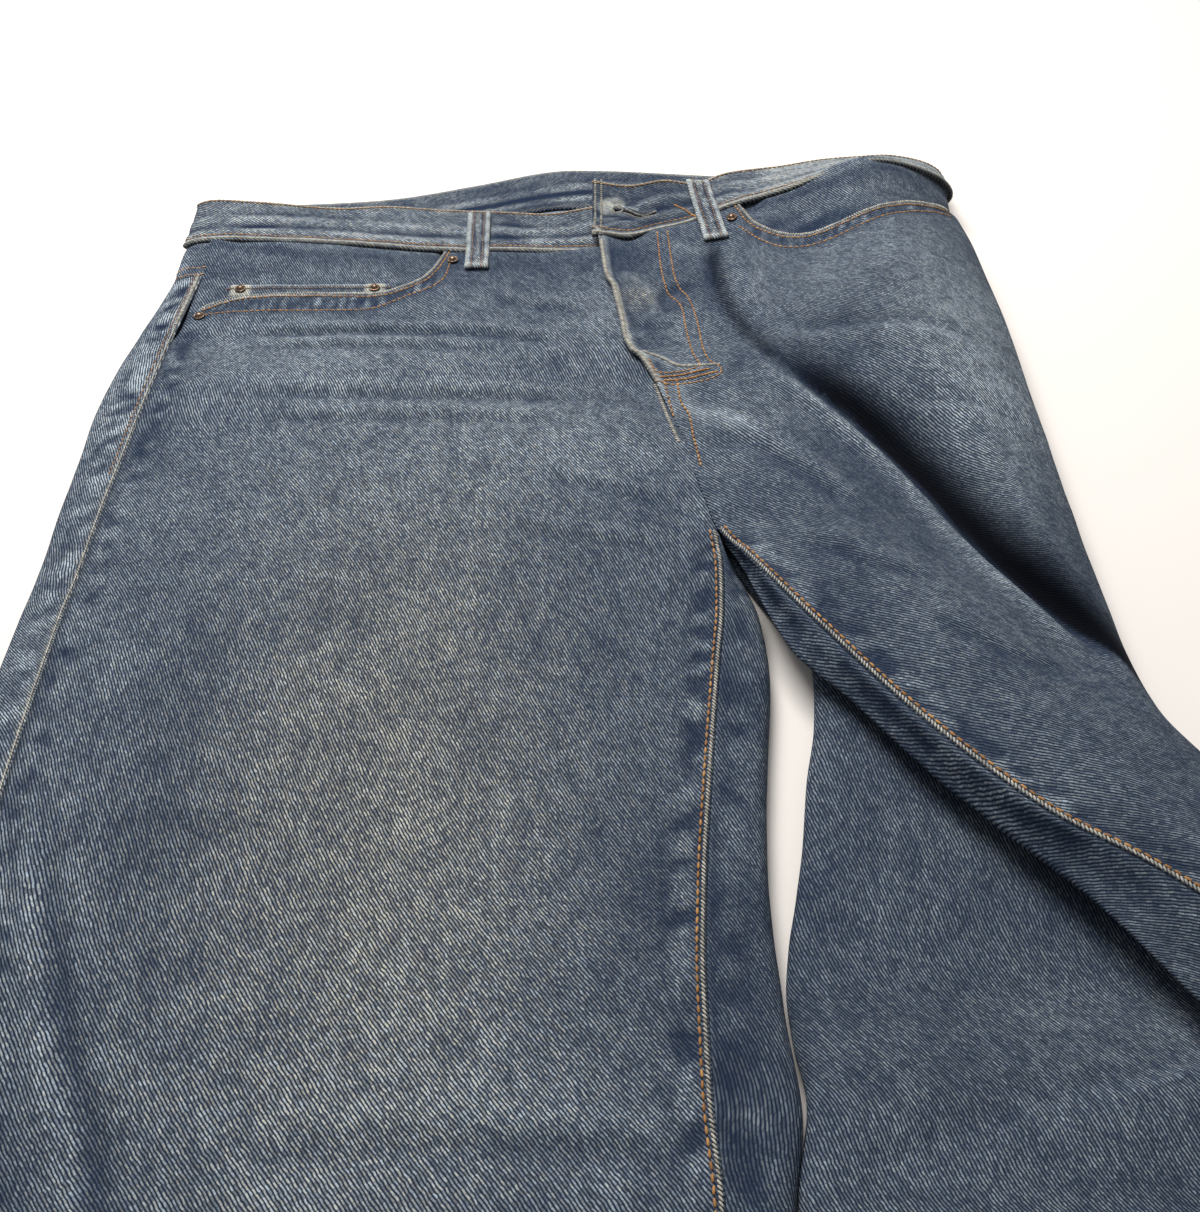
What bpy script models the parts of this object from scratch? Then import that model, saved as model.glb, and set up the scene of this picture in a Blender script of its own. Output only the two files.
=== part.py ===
"""Athletic fit jeans laid flat, front up: the cut pieces as cloth walls, in their folds.

Lengths in the tables are centimetres; CM turns them into metres. X runs from the wearer's right
to left, Y from the hems to the waist, Z up. The origin lies on the underside of the seat.
"""

import bpy
import numpy as np

CM = 0.01
WALL = 0.13           # denim panel
BAND_WALL = 0.26      # waistband, two layers of denim
LOOP_WALL = 0.16      # belt loop, folded strip
FACING_WALL = 0.10    # pocket facing and coin pocket
SEAM_GAP = 0.03       # between two sewn pieces
SEAM_LANDING = 0.3    # a back panel meets the inseam in line with the front over this width
CROTCH_Y = -5.0
WAIST_Y = 19.0        # nominal height of the waist seam, before its curve is added
WAIST_BLEND_Y = 8.0   # the waist curve fades out at this height
HEM_Y = -84.0
HEM_TOP_Y = -82.0
FACING_TUCK = 1.2     # how far a pocket facing runs on under the opening
FACING_DROP = 0.31    # how far a facing lies under its front panel's face
UNDER_RISE = 0.22     # the waistband's height over the floor on the underside
FLY_LIFT = 0.32       # how far the left front rides over the right one at the fly
FLY_OVERLAP = 1.2
FLY_END_Y = 5.5

# Right leg and right half of the body. The outseam and the inseam lie on the top side.
RIGHT = (
    # y, fold_out, outseam, z_out, z_mid, inseam, z_in, fold_in
    (-84.0, -15.4, -14.0, 1.05, 1.20, 2.6, 1.05, 3.6),
    (-60.0, -16.0, -14.6, 1.00, 1.25, 3.2, 1.05, 4.5),
    (-45.0, -18.3, -16.7, 1.00, 1.35, 3.6, 1.05, 5.5),
    (-34.0, -21.9, -20.3, 1.10, 1.60, 4.0, 1.30, 6.3),
    (-30.5, -23.0, -21.4, 1.10, 1.65, 3.8, 1.35, 6.9),
    (-27.0, -24.2, -22.4, 1.10, 1.70, 3.8, 1.40, 6.6),
    (-23.0, -25.3, -23.4, 1.10, 1.70, 4.0, 1.45, 6.4),
    (-18.0, -26.0, -23.9, 1.15, 1.75, 4.5, 1.50, 6.8),
    (-12.0, -26.2, -24.0, 1.15, 1.80, 5.2, 1.55, 7.4),
    (-9.5, -26.2, -24.0, 1.15, 1.80, 5.5, 1.65, 7.2),
    (-7.0, -26.1, -23.9, 1.15, 1.80, 5.6, 1.80, 6.4),
    (-5.0, -26.1, -23.9, 1.15, 1.75, 5.45, 2.00, 5.58),
    (-3.0, -26.2, -23.9, 1.15, 1.75, 5.25, 1.95, 5.4),
    (0.5, -26.3, -23.8, 1.15, 1.73, 4.46, 1.85, 4.9),
    (4.5, -26.4, -23.7, 1.15, 1.70, 3.3, 1.70, 4.0),
    (12.0, -25.6, -23.4, 1.10, 1.45, 0.8, 1.45, 2.0),
    (19.0, -24.8, -23.1, 1.00, 1.20, -0.1, 1.30, 1.0),
)

# Left leg and left half of the body, top side from the inner seam out to the folded edge.
LEFT = (
    # y, seam, z_seam, crest, z_crest, crease, z_crease, bulge, z_bulge, edge, z_edge, outseam
    (-84.0, 28.05, 1.10, 28.20, 0.90, 28.15, 0.58, 28.00, 0.28, 27.75, 0.06, 11.4),
    (-60.0, 27.65, 1.05, 27.80, 0.86, 27.75, 0.56, 27.60, 0.28, 27.30, 0.07, 9.6),
    (-45.0, 24.65, 0.90, 24.80, 0.72, 24.75, 0.46, 24.60, 0.24, 24.30, 0.07, 8.8),
    (-34.0, 21.60, 0.95, 21.80, 0.72, 21.75, 0.44, 21.55, 0.22, 21.20, 0.08, 8.4),
    (-30.5, 23.60, 1.55, 24.00, 1.30, 24.15, 1.00, 24.10, 0.60, 23.70, 0.22, 9.0),
    (-28.6, 24.40, 2.30, 25.10, 2.10, 25.50, 1.75, 25.70, 1.20, 25.60, 0.55, 9.6),
    (-27.0, 23.60, 3.00, 24.70, 2.90, 25.40, 2.50, 25.90, 1.80, 26.10, 0.90, 10.4),
    (-25.0, 21.90, 3.70, 23.40, 3.80, 24.70, 3.50, 25.70, 2.80, 26.90, 1.30, 11.0),
    (-23.0, 19.50, 3.80, 21.80, 4.10, 23.60, 3.80, 25.10, 3.00, 26.80, 1.30, 11.4),
    (-21.0, 16.60, 3.80, 19.60, 4.20, 22.00, 3.80, 24.20, 3.00, 26.20, 1.30, 11.8),
    (-18.0, 13.80, 3.60, 17.40, 4.30, 20.60, 3.70, 23.20, 2.90, 25.00, 1.30, 12.0),
    (-15.0, 11.60, 3.30, 15.80, 4.30, 20.80, 3.10, 22.40, 2.60, 23.40, 1.20, 12.0),
    (-12.0, 9.60, 3.10, 14.40, 4.20, 20.80, 2.30, 21.90, 2.50, 22.90, 1.10, 12.2),
    (-9.0, 7.70, 2.90, 12.80, 4.00, 19.30, 2.20, 20.90, 2.90, 22.70, 1.20, 12.6),
    (-7.0, 6.80, 2.50, 11.60, 3.80, 18.00, 2.15, 20.20, 3.20, 22.60, 1.30, 13.2),
    (-5.0, 5.78, 2.15, 10.60, 3.50, 17.00, 2.10, 19.70, 3.40, 22.50, 1.40, 14.0),
    (-3.0, 5.31, 2.08, 10.20, 3.35, 16.20, 2.12, 19.30, 3.48, 22.45, 1.44, 14.9),
    (0.5, 4.50, 1.90, 9.00, 2.90, 14.20, 2.20, 18.20, 3.70, 22.40, 1.50, 17.0),
    (4.5, 3.30, 1.70, 7.40, 2.50, 11.20, 2.60, 17.20, 4.10, 22.30, 1.60, 18.4),
    (9.0, 1.80, 1.55, 6.80, 2.30, 10.80, 3.20, 16.60, 4.70, 22.20, 1.80, 18.8),
    (14.0, 0.40, 1.40, 6.60, 2.40, 10.80, 3.60, 16.40, 5.20, 21.90, 1.90, 18.8),
    (19.0, -0.10, 1.35, 7.50, 2.70, 11.00, 3.60, 15.90, 4.90, 21.40, 1.70, 18.8),
)

# The pleat in the left leg's back panel, between its inner fold and the inseam.
PLEAT = (
    # y, fold_in, z_low, root, strip, z_back, share: 0 flat cloth, 1 the whole pleat
    (-84.0, 9.6, 1.15, 18.0, 16.0, 1.2, 0.0),
    (-60.0, 8.0, 1.10, 17.0, 15.0, 1.2, 0.0),
    (-45.0, 6.9, 1.00, 15.0, 13.0, 1.3, 0.0),
    (-34.0, 6.45, 1.00, 14.5, 13.0, 1.4, 0.0),
    (-30.5, 7.05, 1.00, 22.4, 21.3, 1.4, 0.5),
    (-28.6, 6.80, 1.00, 23.2, 21.5, 1.75, 1.0),
    (-27.0, 6.70, 1.00, 22.4, 20.3, 2.1, 1.0),
    (-25.0, 7.00, 1.00, 22.2, 18.8, 2.1, 1.0),
    (-23.0, 7.50, 1.00, 21.4, 17.3, 2.0, 1.0),
    (-21.0, 7.90, 1.00, 20.2, 15.4, 1.9, 1.0),
    (-18.0, 8.40, 1.00, 18.2, 12.7, 1.8, 1.0),
    (-15.0, 9.00, 1.00, 16.2, 10.6, 1.7, 1.0),
    (-12.0, 9.25, 0.95, 14.0, 8.2, 1.6, 1.0),
    (-9.0, 7.70, 0.90, 11.0, 7.05, 1.5, 1.0),
    (-7.0, 6.70, 0.85, 9.0, 6.45, 1.4, 1.0),
    (-5.0, 5.66, 0.80, 7.4, 5.62, 1.4, 1.0),
)

# The seat seam on the underside, and the curves that end the panels at the top.
SEAT_SEAM = ((-5.0, 5.5), (4.0, 3.4), (12.0, 1.2), (24.0, -1.5))       # y, x
YOKE_SEAM = (                                                           # x, y
    (-25.0, 16.2), (-13.0, 16.6), (-1.0, 17.4), (12.0, 18.8), (21.4, 19.6),
)
POCKET_RIGHT = (                                                        # x, y
    (-23.4, 12.6), (-22.4, 13.2), (-20.9, 13.9), (-17.0, 14.3), (-12.6, 14.3), (-11.4, 14.9),
    (-10.2, 15.9), (-9.6, 17.0), (-9.2, 18.3),
)
POCKET_LEFT = (                                                         # x, y
    (8.3, 20.6), (8.9, 18.7), (9.8, 17.4), (10.9, 16.5), (12.3, 16.2), (14.2, 16.7),
    (15.9, 17.4), (18.2, 18.8), (20.3, 20.0), (21.4, 20.4),
)

# The waistband's outer face, from its end under the flap round the back to the flap's own end.
WAISTBAND = (
    # x, y_seam, z_seam, y_top, z_top, steps to the next station
    (3.4, 19.0, 0.80, 22.7, 1.70, 1),
    (0.0, 18.7, 0.90, 22.6, 1.60, 1),
    (-3.0, 18.3, 1.20, 22.5, 1.10, 1),
    (-6.0, 18.3, 1.25, 22.6, 1.15, 1),
    (-9.4, 18.3, 1.25, 22.8, 1.15, 1),
    (-13.0, 18.8, 1.20, 23.2, 1.15, 1),
    (-16.1, 19.2, 1.15, 23.1, 1.10, 1),
    (-21.2, 19.6, 1.10, 23.8, 1.10, 1),
    (-24.2, 19.6, 0.98, 24.1, 1.00, 2),
    (-25.0, 19.6, 0.60, 24.2, 0.60, 2),
    (-24.3, 19.6, 0.22, 24.2, 0.22, 1),
    (-20.0, 20.0, 0.22, 24.4, 0.22, 1),
    (-13.0, 20.8, 0.22, 25.1, 0.22, 1),
    (-8.0, 22.3, 0.22, 26.6, 0.22, 1),
    (-3.0, 24.0, 0.22, 28.3, 0.22, 1),
    (0.0, 24.1, 0.22, 28.4, 0.22, 1),
    (5.0, 23.8, 0.22, 28.0, 0.22, 1),
    (12.0, 23.2, 0.22, 27.3, 0.22, 1),
    (18.0, 23.0, 0.22, 27.0, 0.22, 1),
    (20.4, 23.2, 0.45, 27.0, 0.40, 2),
    (21.5, 23.3, 1.60, 26.9, 1.10, 2),
    (20.6, 23.2, 3.00, 26.7, 1.90, 1),
    (18.0, 22.8, 4.30, 26.3, 2.70, 1),
    (15.9, 22.2, 4.85, 25.8, 2.90, 1),
    (13.5, 21.6, 4.40, 25.4, 2.95, 1),
    (11.0, 21.0, 3.65, 24.8, 2.90, 1),
    (7.7, 20.6, 2.80, 24.3, 2.75, 1),
    (5.8, 19.8, 2.35, 23.4, 2.65, 1),
    (3.9, 19.4, 2.00, 23.5, 2.80, 1),
    (1.7, 19.2, 1.75, 23.1, 2.70, 1),
    (-0.4, 19.5, 1.55, 23.6, 2.70, 1),
)

# Rows across the panels, from the hem up, by nominal height.
RIGHT_ROWS = (-82, -72, -60, -50, -42, -36, -32, -28, -24, -20, -16, -13, -11, -9, -7, -5,
              -3, 0, 4, 8, 11, 13, 15, 17, 19)
LEFT_ROWS = (-82, -72, -60, -50, -42, -37, -34, -32, -30.5, -29.4, -28.6, -27.8, -27, -26, -25,
             -24, -22.5, -21, -19.5, -18, -16.5, -15, -13.5, -12, -10.5, -9, -7.8, -6.4, -5,
             -3, 0, 3, 6, 9, 11, 13, 15, 17, 19)

FACING_RIGHT_X = (-22.9, -21.0, -18.5, -16.0, -13.5, -11.5, -10.2, -9.4, -8.8)
FACING_LEFT_X = (8.0, 8.7, 9.6, 10.8, 12.2, 13.8, 15.4, 17.0, 18.6, 20.0, 20.9)
FACING_ENDS = {"right": -0.08, "left": -0.2}   # where a facing ends, from the waist seam
FACING_RISE = 0.24    # the facing comes up to the waistband's edge by so much
FACING_RISE_X = (9.6, 11.2)   # beside the opening's inner end it stays under the front
FACING_LOW_Z = 0.5    # the left facing runs on round the folded edge down to this height
COIN_POCKET = (-21.4, -12.1, 13.2, 15.4)   # left, right, low, high
COIN_DEPTH = 0.17
FLY_FACING_Y = 8.0
LOOP_WIDTH = 1.3
BELT_LOOPS = (
    # name, x_low, x_high, y_low, y_high, under
    ("belt_loop_front_right", -7.15, -7.35, 16.4, 22.9, False),
    ("belt_loop_front_left", 6.70, 5.90, 17.6, 23.3, False),
    ("belt_loop_back_right", -13.5, -13.5, 18.9, 25.0, True),
    ("belt_loop_back_centre", -1.6, -1.6, 22.1, 28.2, True),
    ("belt_loop_back_left", 11.0, 11.0, 21.4, 27.4, True),
)
RIVETS = (
    # name, x, y, depth of the face that carries it
    ("rivet_coin_outer", -20.6, 14.95, COIN_DEPTH),
    ("rivet_coin_inner", -12.9, 14.95, COIN_DEPTH),
    ("rivet_right_inner", -8.6, 17.4, 0.0),
    ("rivet_right_outer", -22.4, 12.3, 0.0),
    ("rivet_left_inner", 7.7, 19.4, 0.0),
)
BUTTON_PLACE = (0.7, 21.2, 1.58, 0.22)     # x, y, z and the band's slope there
RIVET_CLEARANCE = 0.09
ROUND_SIDES = 16
HALF_GAP = 0.5 * SEAM_GAP

DENIM = ("denim", (0.100, 0.165, 0.290), 0.85, 0.0)
BRASS = ("antique_brass", (0.320, 0.210, 0.110), 0.45, 1.0)


# ---------------------------------------------------------------- curves and tables

def read(table, column, at):
    """A table's column at one height or place, on a smooth curve that stays within its rows."""
    rows = np.asarray(table, float)
    rows = rows[np.argsort(rows[:, 0])]
    x, y = rows[:, 0], rows[:, column]
    at = min(max(at, x[0]), x[-1])
    step = np.diff(x)
    slope = np.diff(y) / step
    tangent = np.zeros(len(x))
    tangent[0], tangent[-1] = slope[0], slope[-1]
    for i in range(1, len(x) - 1):
        if slope[i - 1] * slope[i] > 0:
            near, far = 2 * step[i] + step[i - 1], step[i] + 2 * step[i - 1]
            tangent[i] = (near + far) / (near / slope[i - 1] + far / slope[i])
    i = min(int(np.searchsorted(x, at, side="right")) - 1, len(x) - 2)
    t = (at - x[i]) / step[i]
    return (
        (2 * t**3 - 3 * t**2 + 1) * y[i] + (t**3 - 2 * t**2 + t) * step[i] * tangent[i]
        + (3 * t**2 - 2 * t**3) * y[i + 1] + (t**3 - t**2) * step[i] * tangent[i + 1]
    )


def through(keys, steps):
    """Points on a smooth curve through the keys, with so many steps from each key to the next."""
    keys = np.asarray(keys, float)
    ends = [2 * keys[0] - keys[1], *keys, 2 * keys[-1] - keys[-2]]
    points = []
    for i, count in enumerate(steps):
        p = ends[i:i + 4]
        knots = np.cumsum([0.0] + [max(np.linalg.norm(p[k + 1] - p[k]), 1e-6) ** 0.5 for k in range(3)])
        for t in np.linspace(knots[1], knots[2], count, endpoint=False):
            a = [((knots[k + 1] - t) * p[k] + (t - knots[k]) * p[k + 1]) / (knots[k + 1] - knots[k])
                 for k in range(3)]
            b = [((knots[k + 2] - t) * a[k] + (t - knots[k]) * a[k + 1]) / (knots[k + 2] - knots[k])
                 for k in range(2)]
            points.append(((knots[2] - t) * b[0] + (t - knots[1]) * b[1]) / (knots[2] - knots[1]))
    points.append(keys[-1])
    return np.array(points)


def trimmed(points, start, end):
    """The run of points with its two ends drawn in along it."""
    points = np.array(points, float)
    for tip, inner, cut in ((0, 1, start), (-1, -2, end)):
        along = points[inner] - points[tip]
        points[tip] += along / np.linalg.norm(along) * cut
    return points


def on_floor(section, y):
    """A section's points on or over the floor; near the waistband the underside rises a little."""
    section[:, 1] = np.maximum(section[:, 1], 0.0)
    low = np.clip(1 - section[:, 1] / 0.5, 0, 1)
    section[:, 1] += low * UNDER_RISE * smoothstep(14.5, 18.0, y)
    return section


def smoothstep(low, high, value):
    t = min(max((value - low) / (high - low), 0.0), 1.0)
    return t * t * (3 - 2 * t)


def band_edges():
    """The waistband's lower and upper edges as runs of 3-D points."""
    steps = [int(row[5]) for row in WAISTBAND[:-1]]
    seam = through([(x, y, z) for x, y, z, _, _, _ in WAISTBAND], steps)
    top = through([(x, y, z) for x, _, _, y, z, _ in WAISTBAND], steps)
    return seam, top


def waist_curves():
    """The waist seam of each front and of the back, as (x, y) rows in the order of x."""
    seam = band_edges()[0]
    far_right, far_left = int(np.argmin(seam[:, 0])), int(np.argmax(seam[:, 0]))
    runs = {"right": seam[:far_right + 1], "back": seam[far_right:far_left + 1], "left": seam[far_left:]}
    return {name: np.array(sorted((p[0], p[1]) for p in run)) for name, run in runs.items()}


WAIST = waist_curves()


def along(curve, x):
    """The height in Y of a curve of (x, y) rows over one place."""
    rows = np.asarray(curve, float)
    return float(np.interp(x, rows[:, 0], rows[:, 1]))


# ---------------------------------------------------------------- sections, as (x, z)

def fly_lift(y, x_from_seam):
    """The left front's rise over the right one beside the fly."""
    return FLY_LIFT * smoothstep(FLY_END_Y - 3, FLY_END_Y + 1, y) * (1 - smoothstep(1.5, 6.0, x_from_seam))


def right_front_section(y):
    x_out, z_out, z_mid, x_in, z_in = (read(RIGHT, c, y) for c in (2, 3, 4, 5, 6))
    under_fly = smoothstep(FLY_END_Y - 1, FLY_END_Y + 2, y)
    x_in = x_in + under_fly * FLY_OVERLAP
    keys = [(x_out, z_out), (x_out + 0.12 * (x_in - x_out), 0.35 * z_out + 0.65 * z_mid),
            (x_out + 0.5 * (x_in - x_out), z_mid), (x_in - 2.6, 0.4 * z_mid + 0.6 * z_in),
            (x_in, z_in)]
    return through(keys, (2, 5, 4, 2))


def right_back_section(y, leg):
    """Outseam, round the outer fold, along the underside to the seat seam and on a leg up the strip."""
    x_fold, x_out, z_out, x_in, z_in, x_inner = (read(RIGHT, c, y) for c in (1, 2, 3, 5, 6, 7))
    seat = read(SEAT_SEAM, 1, y) if not leg else x_inner - min(0.5, x_inner - x_in)
    keys = [(x_out, z_out), (0.35 * x_out + 0.65 * x_fold, 0.88 * z_out), (x_fold, 0.5 * z_out),
            (x_fold + 0.7, 0.0), (0.75 * x_fold + 0.25 * seat, 0.0), (0.5 * x_fold + 0.5 * seat, 0.0),
            (0.25 * x_fold + 0.75 * seat, 0.0), (seat, 0.0)]
    steps = [1, 2, 2, 1, 2, 2, 2]
    if leg:
        bow = min(0.3, 0.4 * (x_inner - x_in))
        landing = min(SEAM_LANDING, 0.35 * (x_inner - x_in))
        keys += [(x_inner, 0.42 * z_in), (x_inner - bow, 0.84 * z_in)]
        keys += [(x_in + landing, z_in - 0.02), (x_in, z_in)]
        steps += [2, 2, 1, 1]
    return on_floor(through(keys, steps), y)


def left_front_section(y):
    """Centre front or inseam, over the crest, the crease and the bulge, and round to the outseam."""
    values = [read(LEFT, c, y) for c in range(1, 12)]
    keys = [(values[k], values[k + 1]) for k in range(0, 10, 2)]
    keys[0] = (keys[0][0], keys[0][1] + fly_lift(y, 0.0))
    keys[1] = (keys[1][0], keys[1][1] + fly_lift(y, keys[1][0] - keys[0][0]))
    x_edge, x_out = values[8], values[10]
    x_down = x_edge - min(1.6, 0.55 * (x_edge - x_out))
    keys += [(x_down, 0.0), (0.5 * (x_down + x_out), 0.0), (x_out, 0.0)]
    return on_floor(through(keys, (4, 3, 3, 3, 2, 3, 3)), y)


def left_back_section(y, leg):
    """Outseam, along the underside, round the inner fold, through the pleat and up to the inseam."""
    x_out = read(LEFT, 11, y)
    x_inner = read(PLEAT, 1, y) if leg else 0.0
    seat = x_inner + 0.5 if leg else read(SEAT_SEAM, 1, y)
    keys = [(x_out, 0.0), (0.5 * (x_out + seat), 0.0), (seat, 0.0)]
    steps = [2, 2]
    if leg:
        z_low, x_root, x_strip, z_back, share = (read(PLEAT, c, y) for c in range(2, 7))
        x_seam, z_seam = read(LEFT, 1, y), read(LEFT, 2, y)
        turn = min(0.6, 0.5 * (x_root - x_inner - 0.3))
        rise = 0.5 * (z_back + z_seam) - z_back
        pleat = np.array([
            (x_root - turn, z_low), (x_root, 0.5 * (z_low + z_back)), (x_root - turn, z_back),
            (x_strip + 0.35, z_back + 0.02), (x_strip, z_back + 0.45 * rise),
            (x_strip + 0.3 * (x_seam - x_strip), z_back + rise),
        ])
        start = np.array((x_inner + 0.45, z_low))
        part = np.linspace(0, 1, len(pleat) + 2)[1:-1, None]
        seam = np.array((x_seam, z_seam))
        flat = start + (seam - start) * part
        flat[:, 1] = z_low + (z_seam - z_low) * part[:, 0] ** 3
        across = np.array((read(LEFT, 3, y), read(LEFT, 4, y))) - seam
        landing = seam - across / np.linalg.norm(across) * min(SEAM_LANDING, 0.35 * (x_seam - x_strip))
        keys += [(x_inner, 0.5 * z_low), tuple(start)]
        keys += [tuple(k) for k in flat + (pleat - flat) * share] + [tuple(landing), tuple(seam)]
        steps += [2, 2, 4, 2, 2, 3, 2, 2, 1, 1]
    return on_floor(through(keys, steps), y)


def waist_shift(y, x, curve):
    """How far a panel's points move up so that its top row follows the curve."""
    return smoothstep(WAIST_BLEND_Y, WAIST_Y, y) * (along(curve, x) - WAIST_Y)


def front_top(side, x, z):
    """The curve that ends a front panel: the waist seam, or the pocket opening below it."""
    if side == "right":
        return POCKET_RIGHT if x < POCKET_RIGHT[-1][0] else WAIST["right"]
    if z < 0.5:
        return WAIST["back"]
    return POCKET_LEFT if x > POCKET_LEFT[0][0] else WAIST["left"]


def on_front(side, y, places):
    """Points of a front panel's outer face at some places in X, at one nominal height."""
    section = right_front_section(y) if side == "right" else left_front_section(y)
    top = section[:int(np.argmax(section[:, 0])) + 1]
    return [(x, float(np.interp(x, top[:, 0], top[:, 1]))) for x in places]


def front_height(side, x, y):
    """A front panel's outer face over one point of the floor."""
    low, high = WAIST_BLEND_Y - 20, WAIST_Y
    for _ in range(30):
        middle = 0.5 * (low + high)
        if middle + waist_shift(middle, x, WAIST[side]) < y:
            low = middle
        else:
            high = middle
    return on_front(side, middle, [x])[0][1]


# ---------------------------------------------------------------- meshes

def material(name, colour, roughness, metallic):
    made = bpy.data.materials.get(name)
    if made:
        return made
    made = bpy.data.materials.new(name)
    made.use_nodes = True
    shader = made.node_tree.nodes["Principled BSDF"]
    shader.inputs["Base Color"].default_value = (*colour, 1.0)
    shader.inputs["Roughness"].default_value = roughness
    shader.inputs["Metallic"].default_value = metallic
    return made


def solid(name, points, faces, finish):
    """One object from closed faces, in centimetres."""
    mesh = bpy.data.meshes.new(name)
    mesh.from_pydata([tuple(np.asarray(p) * CM) for p in points], [], faces)
    mesh.validate()
    mesh.materials.append(material(*finish))
    mesh.shade_smooth()
    mesh.set_sharp_from_angle(angle=0.7)
    obj = bpy.data.objects.new(name, mesh)
    bpy.context.scene.collection.objects.link(obj)
    return obj


def sheet(name, rows, thickness, finish, outward=1, depth=0.0, closed=False):
    """A cloth wall from rows of outer points; a short row leaves the last columns out above it.

    outward is 1 where the rows run round the piece clockwise, seen from the hem, and -1 otherwise.
    depth sinks the whole wall under the points, and closed joins each row's end to its start.
    """
    counts = [len(row) for row in rows]
    starts = np.concatenate([[0], np.cumsum(counts)])
    outer = np.concatenate([np.asarray(row, float) for row in rows])
    quads = []
    for i in range(len(rows) - 1):
        shared = min(counts[i], counts[i + 1])
        for j in range(shared if closed else shared - 1):
            k = (j + 1) % shared
            quads.append((starts[i] + j, starts[i] + k, starts[i + 1] + k, starts[i + 1] + j))
    quads = [tuple(int(k) for k in quad) for quad in quads]
    normals = np.zeros_like(outer)
    for quad in quads:
        a, b, c, d = (outer[k] for k in quad)
        cross = np.cross(c - a, d - b)
        for k in quad:
            normals[k] += cross / max(np.linalg.norm(cross), 1e-9)
    normals *= outward / np.linalg.norm(normals, axis=1)[:, None]
    outer = outer - normals * depth
    inner = outer - normals * thickness
    shift = len(outer)
    faces = quads + [tuple(k + shift for k in reversed(quad)) for quad in quads]
    edges = {(a, b) for quad in quads for a, b in zip(quad, quad[1:] + quad[:1])}
    faces += [(b, a, a + shift, b + shift) for a, b in sorted(edges) if (b, a) not in edges]
    if outward < 0:
        faces = [face[::-1] for face in faces]
    return solid(name, np.concatenate([outer, inner]), faces, finish)


def turned(name, centre, slopes, profile, finish):
    """A small round piece from a profile of (radius, height), standing on a sloping face."""
    up = np.array((-slopes[0], -slopes[1], 1.0))
    up /= np.linalg.norm(up)
    side = np.cross((0.0, 1.0, 0.0), up)
    side /= np.linalg.norm(side)
    ahead = np.cross(up, side)
    points, faces = [np.array(centre) + up * profile[0][1]], []
    for radius, height in profile[1:-1]:
        for k in range(ROUND_SIDES):
            angle = 2 * np.pi * k / ROUND_SIDES
            points.append(np.array(centre) + up * height
                          + radius * (np.cos(angle) * side + np.sin(angle) * ahead))
    points.append(np.array(centre) + up * profile[-1][1])
    rings = len(profile) - 2
    for k in range(ROUND_SIDES):
        turn = (k + 1) % ROUND_SIDES
        faces.append((0, 1 + turn, 1 + k))
        for ring in range(rings - 1):
            low, high = 1 + ring * ROUND_SIDES, 1 + (ring + 1) * ROUND_SIDES
            faces.append((low + k, low + turn, high + turn, high + k))
        last = 1 + (rings - 1) * ROUND_SIDES
        faces.append((last + k, last + turn, len(points) - 1))
    return solid(name, points, faces, finish)


# ---------------------------------------------------------------- the sewn pieces

def rows_of(heights, section, lift):
    """Rows of 3-D points: each height's section, its ends drawn in, moved up by its top curve."""
    rows = []
    for y in heights:
        run = trimmed(section(y), HALF_GAP, HALF_GAP)
        rows.append([(x, y + lift(y, x, z), z) for x, z in run])
    return rows


def inset_ends(rows, top_gap=SEAM_GAP):
    """The panel's first and last rows drawn in along Y."""
    for index, gap in ((0, HALF_GAP), (-1, -top_gap)):
        rows[index] = [(x, y + gap, z) for x, y, z in rows[index]]
    return rows


def front_panel(side):
    heights = RIGHT_ROWS if side == "right" else LEFT_ROWS
    section = right_front_section if side == "right" else left_front_section

    def lift(y, x, z):
        return waist_shift(y, x, front_top(side, x, z))

    sheet(f"front_{side}", inset_ends(rows_of(heights, section, lift)), WALL, DENIM)


def back_panel(side):
    heights = RIGHT_ROWS if side == "right" else LEFT_ROWS
    section = right_back_section if side == "right" else left_back_section

    def lift(y, x, z):
        return waist_shift(y, x, YOKE_SEAM)

    legs = [y for y in heights if y <= CROTCH_Y]
    body = [y for y in heights if y > CROTCH_Y]
    rows = rows_of(legs, lambda y: section(y, True), lift)
    rows += rows_of(body, lambda y: section(y, False), lift)
    outward = -1 if side == "right" else 1
    sheet(f"back_{side}", inset_ends(rows), WALL, DENIM, outward)


def yoke(side):
    """The shaped strip between a back panel and the waistband."""
    section = right_back_section if side == "right" else left_back_section
    run = trimmed(section(WAIST_Y, False), HALF_GAP, HALF_GAP)
    rows = []
    for part in (0.0, 0.3, 0.65, 1.0):
        row = []
        for x, z in run:
            low = along(YOKE_SEAM, x)
            high = along(WAIST["back"], x)
            row.append((x, low + (high - low) * part, z))
        rows.append(row)
    outward = -1 if side == "right" else 1
    sheet(f"yoke_{side}", inset_ends(rows, 3 * SEAM_GAP), WALL, DENIM, outward)


def hem(side):
    """The turned-up end of a leg, a ring of two layers."""
    rows = []
    for y in (HEM_Y, HEM_TOP_Y - HALF_GAP):
        if side == "right":
            front, back = right_front_section(y), right_back_section(y, True)[::-1]
        else:
            front, back = left_front_section(y), left_back_section(y, True)
        rows.append([(x, y, z) for x, z in [*front, *back[1:-1]]])
    sheet(f"hem_{side}", rows, BAND_WALL, DENIM, closed=True)


def waistband():
    """One long band from its end under the flap, round the back, to the flap."""
    seam, top = band_edges()
    seam[:, 1] += SEAM_GAP
    rows = [seam + (top - seam) * part for part in (0.0, 0.5, 1.0)]
    sheet("waistband", rows, BAND_WALL, DENIM, outward=-1)


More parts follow.
